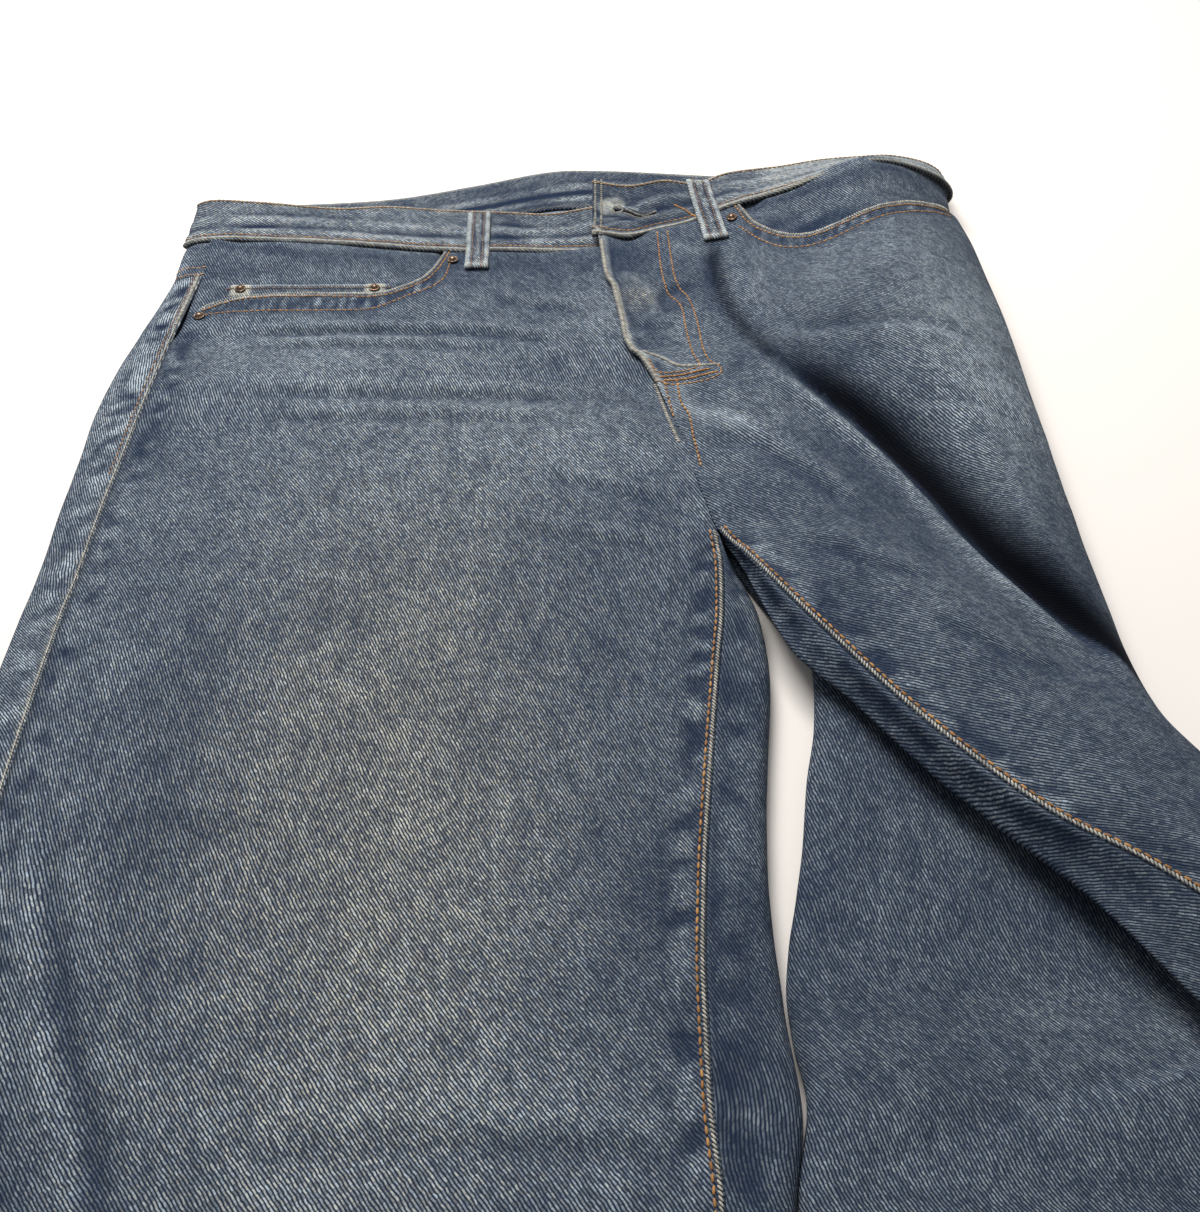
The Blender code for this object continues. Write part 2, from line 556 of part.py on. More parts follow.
def band_height(x, y):
    """The waistband's outer face over one point of the front."""
    front = [row for row in WAISTBAND if row[2] > 0.9 and not (row[0] > -1 and row[4] < 2.0)]
    front.sort()
    columns = np.array(front)
    low, z_low, high, z_high = (np.interp(x, columns[:, 0], columns[:, k]) for k in (1, 2, 3, 4))
    return z_low + (z_high - z_low) * (y - low) / (high - low)


def pocket_facing(side):
    """The cloth that shows inside a front pocket's opening, tucked under the front and the band."""
    curve = POCKET_RIGHT if side == "right" else POCKET_LEFT
    places = FACING_RIGHT_X if side == "right" else FACING_LEFT_X
    run = on_front(side, WAIST_Y, places)
    if side == "left":
        section = left_front_section(WAIST_Y)
        fold = int(np.argmax(section[:, 0]))
        run += [tuple(p) for k, p in enumerate(section)
                if p[1] > FACING_LOW_Z and (k >= fold or p[0] > places[-1] + 0.1)]
    rows = []
    for part in (0.0, 0.25, 0.5, 0.75, 1.0):
        rise = FACING_RISE * smoothstep(0.4, 1.0, part)
        row = []
        for x, z in run:
            low = along(curve, x) - FACING_TUCK
            high = along(WAIST[side], x) + FACING_ENDS[side]
            row.append((x, low + (high - low) * part, z + rise * smoothstep(*FACING_RISE_X, abs(x))))
        rows.append(row)
    sheet(f"pocket_facing_{side}", rows, FACING_WALL, DENIM, depth=FACING_DROP)


def coin_pocket():
    """The small pocket on the right facing, its lower part under the front panel."""
    left, right, low, high = COIN_POCKET
    run = on_front("right", WAIST_Y, np.linspace(left, right, 6))
    rows = [[(x, y, z) for x, z in run] for y in np.linspace(low, high, 3)]
    sheet("coin_pocket", rows, FACING_WALL, DENIM, depth=COIN_DEPTH)


def fly_facing():
    """The backing of the left front at the fly, ending in the curve of the double stitching."""
    rows = []
    for part in np.linspace(0, 1, 6):
        row = []
        for across in (0.25, 1.2, 2.2, 3.2, 4.1):
            low = FLY_FACING_Y + 2.6 * max(0.0, (across - 1.2) / 2.9) ** 2
            y = low + (WAIST_Y - 0.4 - low) * part
            x = read(LEFT, 1, y) + across
            z = on_front("left", y, [x])[0][1]
            row.append((x, y + waist_shift(y, x, WAIST["left"]), z))
        rows.append(row)
    sheet("fly_facing", rows, FACING_WALL, DENIM, depth=WALL + SEAM_GAP)


def belt_loop(name, x_low, x_high, y_low, y_high, under):
    """A strip from below the waist seam to the band's top, on the front or on the underside."""
    rows = []
    for part in np.linspace(0, 1, 7):
        y = y_low + (y_high - y_low) * part
        middle = x_low + (x_high - x_low) * part
        row = []
        for x in (middle - 0.5 * LOOP_WIDTH, middle, middle + 0.5 * LOOP_WIDTH):
            if under:
                z = UNDER_RISE - SEAM_GAP - LOOP_WALL
            else:
                side = "left" if x > 0 else "right"
                seam = along(WAIST[side], x)
                panel = front_height(side, x, min(y, seam))
                over = band_height(x, max(y, seam))
                z = max(panel, over) if abs(y - seam) < 0.8 else (over if y > seam else panel)
                z += 2 * SEAM_GAP + LOOP_WALL
            row.append((x, y, z))
        rows.append(row)
    sheet(name, rows, LOOP_WALL, DENIM, outward=-1 if under else 1)


def rivet(name, x, y, sunk):
    """A small domed rivet on a front panel's face, or on a piece sunk under it."""
    side = "left" if x > 0 else "right"
    z = on_front(side, WAIST_Y, [x])[0][1] - sunk + RIVET_CLEARANCE
    ahead = on_front(side, WAIST_Y, [x + 0.4])[0][1] - on_front(side, WAIST_Y, [x - 0.4])[0][1]
    profile = [(0.0, 0.0), (0.40, 0.0), (0.42, 0.05), (0.34, 0.12), (0.16, 0.15), (0.0, 0.155)]
    turned(name, (x, y, z), (ahead / 0.8, 0.0), profile, BRASS)


def button():
    """The flat shank button on the band's lower end, covered by the flap."""
    x, y, z, slope = BUTTON_PLACE
    profile = [(0.0, -0.14), (0.80, -0.14), (0.85, 0.0), (0.80, 0.12), (0.0, 0.14)]
    turned("button", (x, y, z), (0.0, slope), profile, BRASS)


def clear_scene():
    for obj in list(bpy.data.objects):
        bpy.data.objects.remove(obj, do_unlink=True)


def main():
    clear_scene()
    for side in ("right", "left"):
        front_panel(side)
        back_panel(side)
        yoke(side)
        hem(side)
        pocket_facing(side)
    waistband()
    coin_pocket()
    fly_facing()
    for name, x_low, x_high, y_low, y_high, under in BELT_LOOPS:
        belt_loop(name, x_low, x_high, y_low, y_high, under)
    for name, x, y, sunk in RIVETS:
        rivet(name, x, y, sunk)
    button()


main()
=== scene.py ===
"""Looks of the athletic fit jeans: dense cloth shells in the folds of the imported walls, with their
denim, creases, seams, stitches and trim, on a pale floor.

Lengths in the tables are centimetres and CM turns them into metres. X runs from the wearer's right
to left, Y from the hems to the waist, Z up from the surface that the jeans lie on.
"""

import bpy
import numpy as np
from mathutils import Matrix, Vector
from mathutils.bvhtree import BVHTree

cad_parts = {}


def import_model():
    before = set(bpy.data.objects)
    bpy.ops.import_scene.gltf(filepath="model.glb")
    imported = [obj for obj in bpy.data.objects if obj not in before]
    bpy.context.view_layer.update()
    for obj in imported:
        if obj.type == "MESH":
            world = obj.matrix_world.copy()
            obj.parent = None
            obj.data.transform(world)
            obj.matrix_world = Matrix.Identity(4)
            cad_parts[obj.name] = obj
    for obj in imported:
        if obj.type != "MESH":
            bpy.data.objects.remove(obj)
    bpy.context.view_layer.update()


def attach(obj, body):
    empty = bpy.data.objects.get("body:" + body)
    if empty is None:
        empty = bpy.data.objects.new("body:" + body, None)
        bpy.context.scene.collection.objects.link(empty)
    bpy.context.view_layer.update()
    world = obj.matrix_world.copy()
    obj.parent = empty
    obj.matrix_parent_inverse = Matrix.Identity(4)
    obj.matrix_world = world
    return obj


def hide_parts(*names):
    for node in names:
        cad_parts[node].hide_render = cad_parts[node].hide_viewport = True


CM = 0.01
WALL = 0.13           # denim panel
BAND_WALL = 0.26      # waistband and hems, two layers of denim
LOOP_WALL = 0.16
FACING_WALL = 0.10
SEAM_GAP = 0.03       # between sewn pieces
SEAM_LANDING = 0.3    # the flat stretch of a fold beside the inseam
RIM_BULGE, RIM_ROUND = 0.28, 0.18     # of a rounded edge, in shares of the wall
CROTCH_Y = -5.0
WAIST_Y = 19.0
WAIST_BLEND_Y = 8.0   # rows bend towards the waist seam from here up
HEM_Y = -84.0
HEM_TOP_Y = -82.0
FACING_TUCK = 1.2     # how far a facing runs on under the pocket's edge
FACING_DROP = 0.31    # and how deep it lies
UNDER_RISE = 0.22     # of the underside at the waistband
FLY_LIFT = 0.32       # of the left front over the right one
FLY_OVERLAP = 1.2
FLY_END_Y = 5.5
FLY_FACING_Y = 8.0
KNEE_Y = -36.0        # rows are close together above this height, where the camera looks
ROW_STEP = 0.3
LEG_ROW_STEP = 0.9

# Right leg and right half of the body.
RIGHT = (
    ("y", "fold_out", "outseam", "z_out", "z_mid", "inseam", "z_in", "fold_in"),
    (-84.0, -15.4, -14.0, 1.05, 1.20, 2.6, 1.05, 3.6),
    (-60.0, -16.0, -14.6, 1.00, 1.25, 3.2, 1.05, 4.5),
    (-45.0, -18.3, -16.7, 1.00, 1.35, 3.6, 1.05, 5.5),
    (-34.0, -21.9, -20.3, 1.10, 1.60, 4.0, 1.30, 6.3),
    (-30.5, -23.0, -21.4, 1.10, 1.65, 3.8, 1.35, 6.9),
    (-27.0, -24.2, -22.4, 1.10, 1.70, 3.8, 1.40, 6.6),
    (-23.0, -25.3, -23.4, 1.10, 1.70, 4.0, 1.45, 6.4),
    (-18.0, -26.0, -23.9, 1.15, 1.75, 4.5, 1.50, 6.8),
    (-12.0, -26.2, -24.0, 1.15, 1.80, 5.2, 1.55, 7.4),
    (-9.5, -26.2, -24.0, 1.15, 1.80, 5.5, 1.65, 7.2),
    (-7.0, -26.1, -23.9, 1.15, 1.80, 5.6, 1.80, 6.4),
    (-5.0, -26.1, -23.9, 1.15, 1.75, 5.45, 2.00, 5.58),
    (-3.0, -26.2, -23.9, 1.15, 1.75, 5.25, 1.95, 5.4),
    (0.5, -26.3, -23.8, 1.15, 1.73, 4.46, 1.85, 4.9),
    (4.5, -26.4, -23.7, 1.15, 1.70, 3.3, 1.70, 4.0),
    (12.0, -25.6, -23.4, 1.10, 1.45, 0.8, 1.45, 2.0),
    (19.0, -24.8, -23.1, 1.00, 1.20, -0.1, 1.30, 1.0),
)

# Left leg and left half of the body, top side from the inner seam out to the folded edge.
LEFT = (
    ("y", "seam", "z_seam", "crest", "z_crest", "crease", "z_crease", "bulge", "z_bulge",
     "edge", "z_edge", "outseam"),
    (-84.0, 28.05, 1.10, 28.20, 0.90, 28.15, 0.58, 28.00, 0.28, 27.75, 0.06, 11.4),
    (-60.0, 27.65, 1.05, 27.80, 0.86, 27.75, 0.56, 27.60, 0.28, 27.30, 0.07, 9.6),
    (-45.0, 24.65, 0.90, 24.80, 0.72, 24.75, 0.46, 24.60, 0.24, 24.30, 0.07, 8.8),
    (-34.0, 21.60, 0.95, 21.80, 0.72, 21.75, 0.44, 21.55, 0.22, 21.20, 0.08, 8.4),
    (-30.5, 23.60, 1.55, 24.00, 1.30, 24.15, 1.00, 24.10, 0.60, 23.70, 0.22, 9.0),
    (-28.6, 24.40, 2.30, 25.10, 2.10, 25.50, 1.75, 25.70, 1.20, 25.60, 0.55, 9.6),
    (-27.0, 23.60, 3.00, 24.70, 2.90, 25.40, 2.50, 25.90, 1.80, 26.10, 0.90, 10.4),
    (-25.0, 21.90, 3.70, 23.40, 3.80, 24.70, 3.50, 25.70, 2.80, 26.90, 1.30, 11.0),
    (-23.0, 19.50, 3.80, 21.80, 4.10, 23.60, 3.80, 25.10, 3.00, 26.80, 1.30, 11.4),
    (-21.0, 16.60, 3.80, 19.60, 4.20, 22.00, 3.80, 24.20, 3.00, 26.20, 1.30, 11.8),
    (-18.0, 13.80, 3.60, 17.40, 4.30, 20.60, 3.70, 23.20, 2.90, 25.00, 1.30, 12.0),
    (-15.0, 11.60, 3.30, 15.80, 4.30, 20.80, 3.10, 22.40, 2.60, 23.40, 1.20, 12.0),
    (-12.0, 9.60, 3.10, 14.40, 4.20, 20.80, 2.30, 21.90, 2.50, 22.90, 1.10, 12.2),
    (-9.0, 7.70, 2.90, 12.80, 4.00, 19.30, 2.20, 20.90, 2.90, 22.70, 1.20, 12.6),
    (-7.0, 6.80, 2.50, 11.60, 3.80, 18.00, 2.15, 20.20, 3.20, 22.60, 1.30, 13.2),
    (-5.0, 5.78, 2.15, 10.60, 3.50, 17.00, 2.10, 19.70, 3.40, 22.50, 1.40, 14.0),
    (-3.0, 5.31, 2.08, 10.20, 3.35, 16.20, 2.12, 19.30, 3.48, 22.45, 1.44, 14.9),
    (0.5, 4.50, 1.90, 9.00, 2.90, 14.20, 2.20, 18.20, 3.70, 22.40, 1.50, 17.0),
    (4.5, 3.30, 1.70, 7.40, 2.50, 11.20, 2.60, 17.20, 4.10, 22.30, 1.60, 18.4),
    (9.0, 1.80, 1.55, 6.80, 2.30, 10.80, 3.20, 16.60, 4.70, 22.20, 1.80, 18.8),
    (14.0, 0.40, 1.40, 6.60, 2.40, 10.80, 3.60, 16.40, 5.20, 21.90, 1.90, 18.8),
    (19.0, -0.10, 1.35, 7.50, 2.70, 11.00, 3.60, 15.90, 4.90, 21.40, 1.70, 18.8),
)

# The pleat in the left leg's back panel, between its inner fold and the inseam. Its share is 0
# where the cloth is flat and 1 where the whole pleat is there.
PLEAT = (
    ("y", "fold_in", "z_low", "root", "strip", "z_back", "share"),
    (-84.0, 9.6, 1.15, 18.0, 16.0, 1.2, 0.0),
    (-60.0, 8.0, 1.10, 17.0, 15.0, 1.2, 0.0),
    (-45.0, 6.9, 1.00, 15.0, 13.0, 1.3, 0.0),
    (-34.0, 6.45, 1.00, 14.5, 13.0, 1.4, 0.0),
    (-30.5, 7.05, 1.00, 22.4, 21.3, 1.4, 0.5),
    (-28.6, 6.80, 1.00, 23.2, 21.5, 1.75, 1.0),
    (-27.0, 6.70, 1.00, 22.4, 20.3, 2.1, 1.0),
    (-25.0, 7.00, 1.00, 22.2, 18.8, 2.1, 1.0),
    (-23.0, 7.50, 1.00, 21.4, 17.3, 2.0, 1.0),
    (-21.0, 7.90, 1.00, 20.2, 15.4, 1.9, 1.0),
    (-18.0, 8.40, 1.00, 18.2, 12.7, 1.8, 1.0),
    (-15.0, 9.00, 1.00, 16.2, 10.6, 1.7, 1.0),
    (-12.0, 9.25, 0.95, 14.0, 8.2, 1.6, 1.0),
    (-9.0, 7.70, 0.90, 11.0, 7.05, 1.5, 1.0),
    (-7.0, 6.70, 0.85, 9.0, 6.45, 1.4, 1.0),
    (-5.0, 5.66, 0.80, 7.4, 5.62, 1.4, 1.0),
)

SEAT_SEAM = ((-5.0, 5.5), (4.0, 3.4), (12.0, 1.2), (24.0, -1.5))       # y, x
YOKE_SEAM = ((-25.0, 16.2), (-13.0, 16.6), (-1.0, 17.4), (12.0, 18.8), (21.4, 19.6))   # x, y
POCKET_RIGHT = (                                                        # x, y
    (-23.4, 12.6), (-22.4, 13.2), (-20.9, 13.9), (-17.0, 14.3), (-12.6, 14.3), (-11.4, 14.9),
    (-10.2, 15.9), (-9.6, 17.0), (-9.2, 18.3),
)
POCKET_LEFT = (                                                         # x, y
    (8.3, 20.6), (8.9, 18.7), (9.8, 17.4), (10.9, 16.5), (12.3, 16.2), (14.2, 16.7),
    (15.9, 17.4), (18.2, 18.8), (20.3, 20.0), (21.4, 20.4),
)

# The waistband's outer face, from its end under the flap round the back to the flap's own end.
WAISTBAND = (
    # x, y_seam, z_seam, y_top, z_top
    (3.4, 19.0, 0.80, 22.7, 1.70), (0.0, 18.7, 0.90, 22.6, 1.60),
    (-3.0, 18.3, 1.20, 22.5, 1.10), (-6.0, 18.3, 1.25, 22.6, 1.15),
    (-9.4, 18.3, 1.25, 22.8, 1.15), (-13.0, 18.8, 1.20, 23.2, 1.15),
    (-16.1, 19.2, 1.15, 23.1, 1.10), (-21.2, 19.6, 1.10, 23.8, 1.10),
    (-24.2, 19.6, 0.98, 24.1, 1.00), (-25.0, 19.6, 0.60, 24.2, 0.60),
    (-24.3, 19.6, 0.22, 24.2, 0.22), (-20.0, 20.0, 0.22, 24.4, 0.22),
    (-13.0, 20.8, 0.22, 25.1, 0.22), (-8.0, 22.3, 0.22, 26.6, 0.22),
    (-3.0, 24.0, 0.22, 28.3, 0.22), (0.0, 24.1, 0.22, 28.4, 0.22),
    (5.0, 23.8, 0.22, 28.0, 0.22), (12.0, 23.2, 0.22, 27.3, 0.22),
    (18.0, 23.0, 0.22, 27.0, 0.22), (20.4, 23.2, 0.45, 27.0, 0.40),
    (21.5, 23.3, 1.60, 26.9, 1.10), (20.6, 23.2, 3.00, 26.7, 1.90),
    (18.0, 22.8, 4.30, 26.3, 2.70), (15.9, 22.2, 4.85, 25.8, 2.90),
    (13.5, 21.6, 4.40, 25.4, 2.95), (11.0, 21.0, 3.65, 24.8, 2.90),
    (7.7, 20.6, 2.80, 24.3, 2.75), (5.8, 19.8, 2.35, 23.4, 2.65),
    (3.9, 19.4, 2.00, 23.5, 2.80), (1.7, 19.2, 1.75, 23.1, 2.70),
    (-0.4, 19.5, 1.55, 23.6, 2.70),
)
BAND_STEPS = 24       # columns from one waistband station to the next on the front
UNDER_STEPS = 8       # and on the underside
FLAP_DIP = (1.7, 1.1, 0.75, 0.30)          # x, half width, drop and rise of the flap's lower edge
BUTTONHOLE = ((1.05, 21.05), (2.4, 20.42), (3.4, 20.75))   # its round eye, then the slit
BAND_RIDGES = (
    # way from the lower edge, half width, height, lightness
    (0.62, 0.16, -0.03, -0.05), (1.05, 0.26, 0.05, 0.16), (1.58, 0.26, -0.06, -0.18),
    (2.30, 0.32, 0.06, 0.16), (2.90, 0.26, -0.03, -0.08),
)

FACING_ENDS = {"right": 0.05, "left": 0.15}    # where a facing ends, from the waist seam
FACING_RISE = 0.24         # of its upper part beside the hips
FACING_RISE_X = (8.9, 9.7)
FACING_LOW_Z = 0.5
FACING_UNDER_BAND = 0.3    # how far its top row runs on under the waistband
# Columns of the back panels: their seat seams, and where the pleat's strip follows the inseam.
SEAT_COLUMN_RIGHT, SEAT_COLUMN_LEFT, STRIP_COLUMN = 46, 20, 92
TURNED_LOW_Y = -29.5       # the strip is turned over above this height
COIN_POCKET = (-21.4, -12.1, 13.2, 15.4)   # left, right, low, high
COIN_DEPTH = 0.17


# ---------------------------------------------------------------- curves and tables

def smoothstep(low, high, value):
    t = np.clip((np.asarray(value, float) - low) / (high - low), 0.0, 1.0)
    return t * t * (3 - 2 * t)


def mix(a, b, part):
    return a + (b - a) * part


def bump(value, centre, width):
    """A soft hill of height 1 and half width about `width`."""
    return np.exp(-((np.asarray(value, float) - centre) / width) ** 2)


def plateau(value, low, low_end, high, high_end):
    """0, a soft rise to 1 from low to low_end, and a soft fall back to 0 from high to high_end."""
    return smoothstep(low, low_end, value) * (1 - smoothstep(high, high_end, value))


def joined(*parts):
    """Points from their coordinates, each a number or an array of a matching shape."""
    return np.stack(np.broadcast_arrays(*parts), axis=-1)


def unit(vectors):
    return vectors / np.maximum(np.linalg.norm(vectors, axis=-1, keepdims=True), 1e-9)


def way_along(line):
    """Each point's way from the first one along a run of points."""
    steps = np.nan_to_num(np.linalg.norm(np.diff(line, axis=0), axis=1))
    return np.concatenate([[0], np.cumsum(steps)])


def body_share(y):
    """0 on the legs and 1 on the body, which has no inseam."""
    return smoothstep(-7.0, -4.0, y)


def read(table, column, at):
    """A table's column at some heights or places, on a smooth curve that stays within its rows.

    A table with names in its first row is read by name, and any other by the column's number.
    """
    if isinstance(column, str):
        column, table = table[0].index(column), table[1:]
    rows = np.asarray([row[:column + 1] for row in table], float)
    rows = rows[np.argsort(rows[:, 0])]
    x, y = rows[:, 0], rows[:, column]
    at = np.clip(at, x[0], x[-1])
    step = np.diff(x)
    slope = np.diff(y) / step
    tangent = np.zeros(len(x))
    tangent[0], tangent[-1] = slope[0], slope[-1]
    for i in range(1, len(x) - 1):
        if slope[i - 1] * slope[i] > 0:
            near, far = 2 * step[i] + step[i - 1], step[i] + 2 * step[i - 1]
            tangent[i] = (near + far) / (near / slope[i - 1] + far / slope[i])
    i = np.clip(np.searchsorted(x, at, side="right") - 1, 0, len(x) - 2)
    t = (at - x[i]) / step[i]
    return (
        (2 * t**3 - 3 * t**2 + 1) * y[i] + (t**3 - 2 * t**2 + t) * step[i] * tangent[i]
        + (3 * t**2 - 2 * t**3) * y[i + 1] + (t**3 - t**2) * step[i] * tangent[i + 1]
    )


def through(keys, steps):
    """Smooth runs of points[row, point, axis] through rows of keys[row, key, axis]."""
    keys = np.asarray(keys, float)
    ends = np.concatenate([2 * keys[:, :1] - keys[:, 1:2], keys,
                           2 * keys[:, -1:] - keys[:, -2:-1]], axis=1)
    runs = []
    for i, count in enumerate(steps):
        p = [ends[:, None, i + k] for k in range(4)]
        gaps = [np.maximum(np.linalg.norm(p[k + 1] - p[k], axis=-1, keepdims=True), 1e-6) ** 0.5
                for k in range(3)]
        knots = [np.zeros_like(gaps[0]), gaps[0], gaps[0] + gaps[1], gaps[0] + gaps[1] + gaps[2]]
        part = np.linspace(0, 1, count, endpoint=False)[None, :, None]
        t = mix(knots[1], knots[2], part)
        a = [((knots[k + 1] - t) * p[k] + (t - knots[k]) * p[k + 1]) / (knots[k + 1] - knots[k])
             for k in range(3)]
        b = [((knots[k + 2] - t) * a[k] + (t - knots[k]) * a[k + 1]) / (knots[k + 2] - knots[k])
             for k in range(2)]
        runs.append(((knots[2] - t) * b[0] + (t - knots[1]) * b[1]) / (knots[2] - knots[1]))
    runs.append(keys[:, -1:])
    return np.concatenate(runs, axis=1)


def stacked(pairs, like):
    """Rows of keys from (x, z) pairs, each a number or one value for each row."""
    return np.stack([joined(like, *pair)[..., 1:] for pair in pairs], axis=1)


def on_floor(section, y):
    """Sections on or over the floor; near the waistband the underside rises a little."""
    section[..., 1] = np.maximum(section[..., 1], 0.0)
    low = np.clip(1 - section[..., 1] / 0.5, 0, 1)
    section[..., 1] += low * UNDER_RISE * smoothstep(14.5, 18.0, y)[:, None]
    return section


def band_edges(steps=None):
    """The waistband's lower and upper edges as runs of 3-D points, closest on the front."""
    rows = np.asarray(WAISTBAND, float)
    front = (rows[:-1, 2] > UNDER_RISE) | (rows[1:, 2] > UNDER_RISE)
    counts = [steps or (BAND_STEPS if near else UNDER_STEPS) for near in front]
    return [through(rows[None, :, columns], counts)[0] for columns in ((0, 1, 2), (0, 3, 4))]


def waist_curves():
    """The waist seam of each front and of the back, as (x, y) rows in the order of x."""
    seam = band_edges(2)[0]
    far_right, far_left = int(np.argmin(seam[:, 0])), int(np.argmax(seam[:, 0]))
    runs = {"right": seam[:far_right + 1], "back": seam[far_right:far_left + 1],
            "left": seam[far_left:]}
    return {name: np.array(sorted((p[0], p[1]) for p in run)) for name, run in runs.items()}


WAIST = waist_curves()


def along(curve, x):
    rows = np.asarray(curve, float)
    return np.interp(x, rows[:, 0], rows[:, 1])


# ---------------------------------------------------------------- the panels' sections

def right_front_section(y):
    x_out, z_out, z_mid, x_in, z_in = (
        read(RIGHT, c, y) for c in ("outseam", "z_out", "z_mid", "inseam", "z_in"))
    x_in = x_in + smoothstep(FLY_END_Y - 1, FLY_END_Y + 2, y) * FLY_OVERLAP
    keys = stacked([
        (x_out, z_out), (mix(x_out, x_in, 0.12), mix(z_mid, z_out, 0.35)),
        (mix(x_out, x_in, 0.5), z_mid), (x_in - 2.6, mix(z_mid, z_in, 0.6)), (x_in, z_in),
    ], y)
    return through(keys, (12, 36, 38, 11))


def right_back_section(y, leg):
    """Outseam, outer fold, along the underside to the seat seam, and on a leg up the strip."""
    x_fold, x_out, z_out, x_in, z_in, x_inner = (
        read(RIGHT, c, y) for c in ("fold_out", "outseam", "z_out", "inseam", "z_in", "fold_in"))
    seat = x_inner - np.minimum(0.5, x_inner - x_in) if leg else read(SEAT_SEAM, 1, y)
    pairs = [(x_out, z_out), (mix(x_fold, x_out, 0.35), 0.88 * z_out), (x_fold, 0.5 * z_out),
             (x_fold + 0.7, 0.0), (mix(seat, x_fold, 0.75), 0.0), (mix(seat, x_fold, 0.5), 0.0),
             (mix(seat, x_fold, 0.25), 0.0), (seat, 0.0)]
    steps = [6, 6, 6, 4, 8, 8, 8]
    if leg:
        bow = np.minimum(0.3, 0.4 * (x_inner - x_in))
        landing = np.minimum(SEAM_LANDING, 0.35 * (x_inner - x_in))
        pairs += [(x_inner, 0.42 * z_in), (x_inner - bow, 0.84 * z_in),
                  (x_in + landing, z_in - 0.02), (x_in, z_in)]
        steps += [5, 6, 7, 3]
    return on_floor(through(stacked(pairs, y), steps), y)


def fly_lift(y, from_seam):
    """The left front's rise over the right one beside the fly."""
    rise = FLY_LIFT * smoothstep(FLY_END_Y - 3, FLY_END_Y + 1, y)
    return rise * (1 - smoothstep(1.5, 6.0, from_seam))


def left_front_section(y):
    """Centre front or inseam, over the crest, crease and bulge, and round to the outseam."""
    seam, crest, crease, bulge, edge = (
        [read(LEFT, c, y), read(LEFT, f"z_{c}", y)]
        for c in ("seam", "crest", "crease", "bulge", "edge"))
    seam[1] = seam[1] + fly_lift(y, np.zeros_like(y))
    crest[1] = crest[1] + fly_lift(y, crest[0] - seam[0])
    x_out = read(LEFT, "outseam", y)
    x_down = edge[0] - np.minimum(1.6, 0.55 * (edge[0] - x_out))
    pairs = [seam, crest, crease, bulge, edge,
             (x_down, 0.0), (0.5 * (x_down + x_out), 0.0), (x_out, 0.0)]
    return on_floor(through(stacked(pairs, y), (26, 16, 16, 16, 8, 6, 6)), y)


def left_back_section(y, leg):
    """Outseam, along the underside, round the inner fold, through the pleat up to the inseam."""
    x_out, x_inner = read(LEFT, "outseam", y), read(PLEAT, "fold_in", y)
    seat = x_inner + 0.5 if leg else read(SEAT_SEAM, 1, y)
    pairs = [(x_out, 0.0), (0.5 * (x_out + seat), 0.0), (seat, 0.0)]
    steps = [10, 10]
    if leg:
        z_low, x_root, x_strip, z_back, share = (read(PLEAT, c, y) for c in PLEAT[0][2:])
        x_seam, z_seam = read(LEFT, "seam", y), read(LEFT, "z_seam", y)
        turn = np.minimum(0.6, 0.5 * (x_root - x_inner - 0.3))
        rise = 0.5 * (z_back + z_seam) - z_back
        pleat = stacked([
            (x_root - turn, z_low), (x_root, 0.5 * (z_low + z_back)), (x_root - turn, z_back),
            (x_strip + 0.35, z_back + 0.02), (x_strip, z_back + 0.45 * rise),
            (mix(x_strip, x_seam, 0.3), z_back + rise),
        ], y)
        start = joined(x_inner + 0.45, z_low)
        seam = joined(x_seam, z_seam)
        part = np.linspace(0, 1, pleat.shape[1] + 2)[1:-1]
        flat = mix(start[:, None], seam[:, None], part[None, :, None])
        flat[..., 1] = mix(z_low[:, None], z_seam[:, None], part[None, :] ** 3)
        across = unit(joined(read(LEFT, "crest", y), read(LEFT, "z_crest", y)) - seam)
        landing = seam - across * np.minimum(SEAM_LANDING, 0.35 * (x_seam - x_strip))[:, None]
        keys = stacked(pairs + [(x_inner, 0.5 * z_low)], y)
        folds = mix(flat, pleat, share[:, None, None])
        keys = np.concatenate([keys, start[:, None], folds, landing[:, None], seam[:, None]],
                              axis=1)
        steps += [5, 6, 40, 8, 8, 14, 8, 10, 10, 3]
    else:
        keys = stacked(pairs, y)
    return on_floor(through(keys, steps), y)


FRONT_SECTION = {"right": right_front_section, "left": left_front_section}
BACK_SECTION = {"right": right_back_section, "left": left_back_section}


def front_top(side, x, z):
    """The height that ends a front panel: the waist seam, or the pocket opening below it."""
    if side == "right":
        return np.where(x < POCKET_RIGHT[-1][0], along(POCKET_RIGHT, x), along(WAIST["right"], x))
    top = np.where(x > POCKET_LEFT[0][0], along(POCKET_LEFT, x), along(WAIST["left"], x))
    return mix(along(WAIST["back"], x), top, smoothstep(0.3, 0.9, z))


# ---------------------------------------------------------------- dense grids of the pieces

def heights(low, top):
    """Rows from a low edge to a top one, close together where the camera looks."""
    return np.concatenate([np.arange(low, KNEE_Y, LEG_ROW_STEP), np.arange(KNEE_Y, top, ROW_STEP),
                           [top]])


def trimmed(section):
    """Sections with their two ends drawn in by half a seam gap."""
    for tip, inner in ((0, 1), (-1, -2)):
        way = section[:, inner] - section[:, tip]
        section[:, tip] += unit(way) * 0.5 * SEAM_GAP
    return section


def raised_to(section, y, curve_at):
    """3-D points of sections, moved up so that the top row follows a curve."""
    x, z = section[..., 0], section[..., 1]
    shift = smoothstep(WAIST_BLEND_Y, WAIST_Y, y)[:, None] * (curve_at(x, z) - WAIST_Y)
    return joined(x, y[:, None] + shift, z)


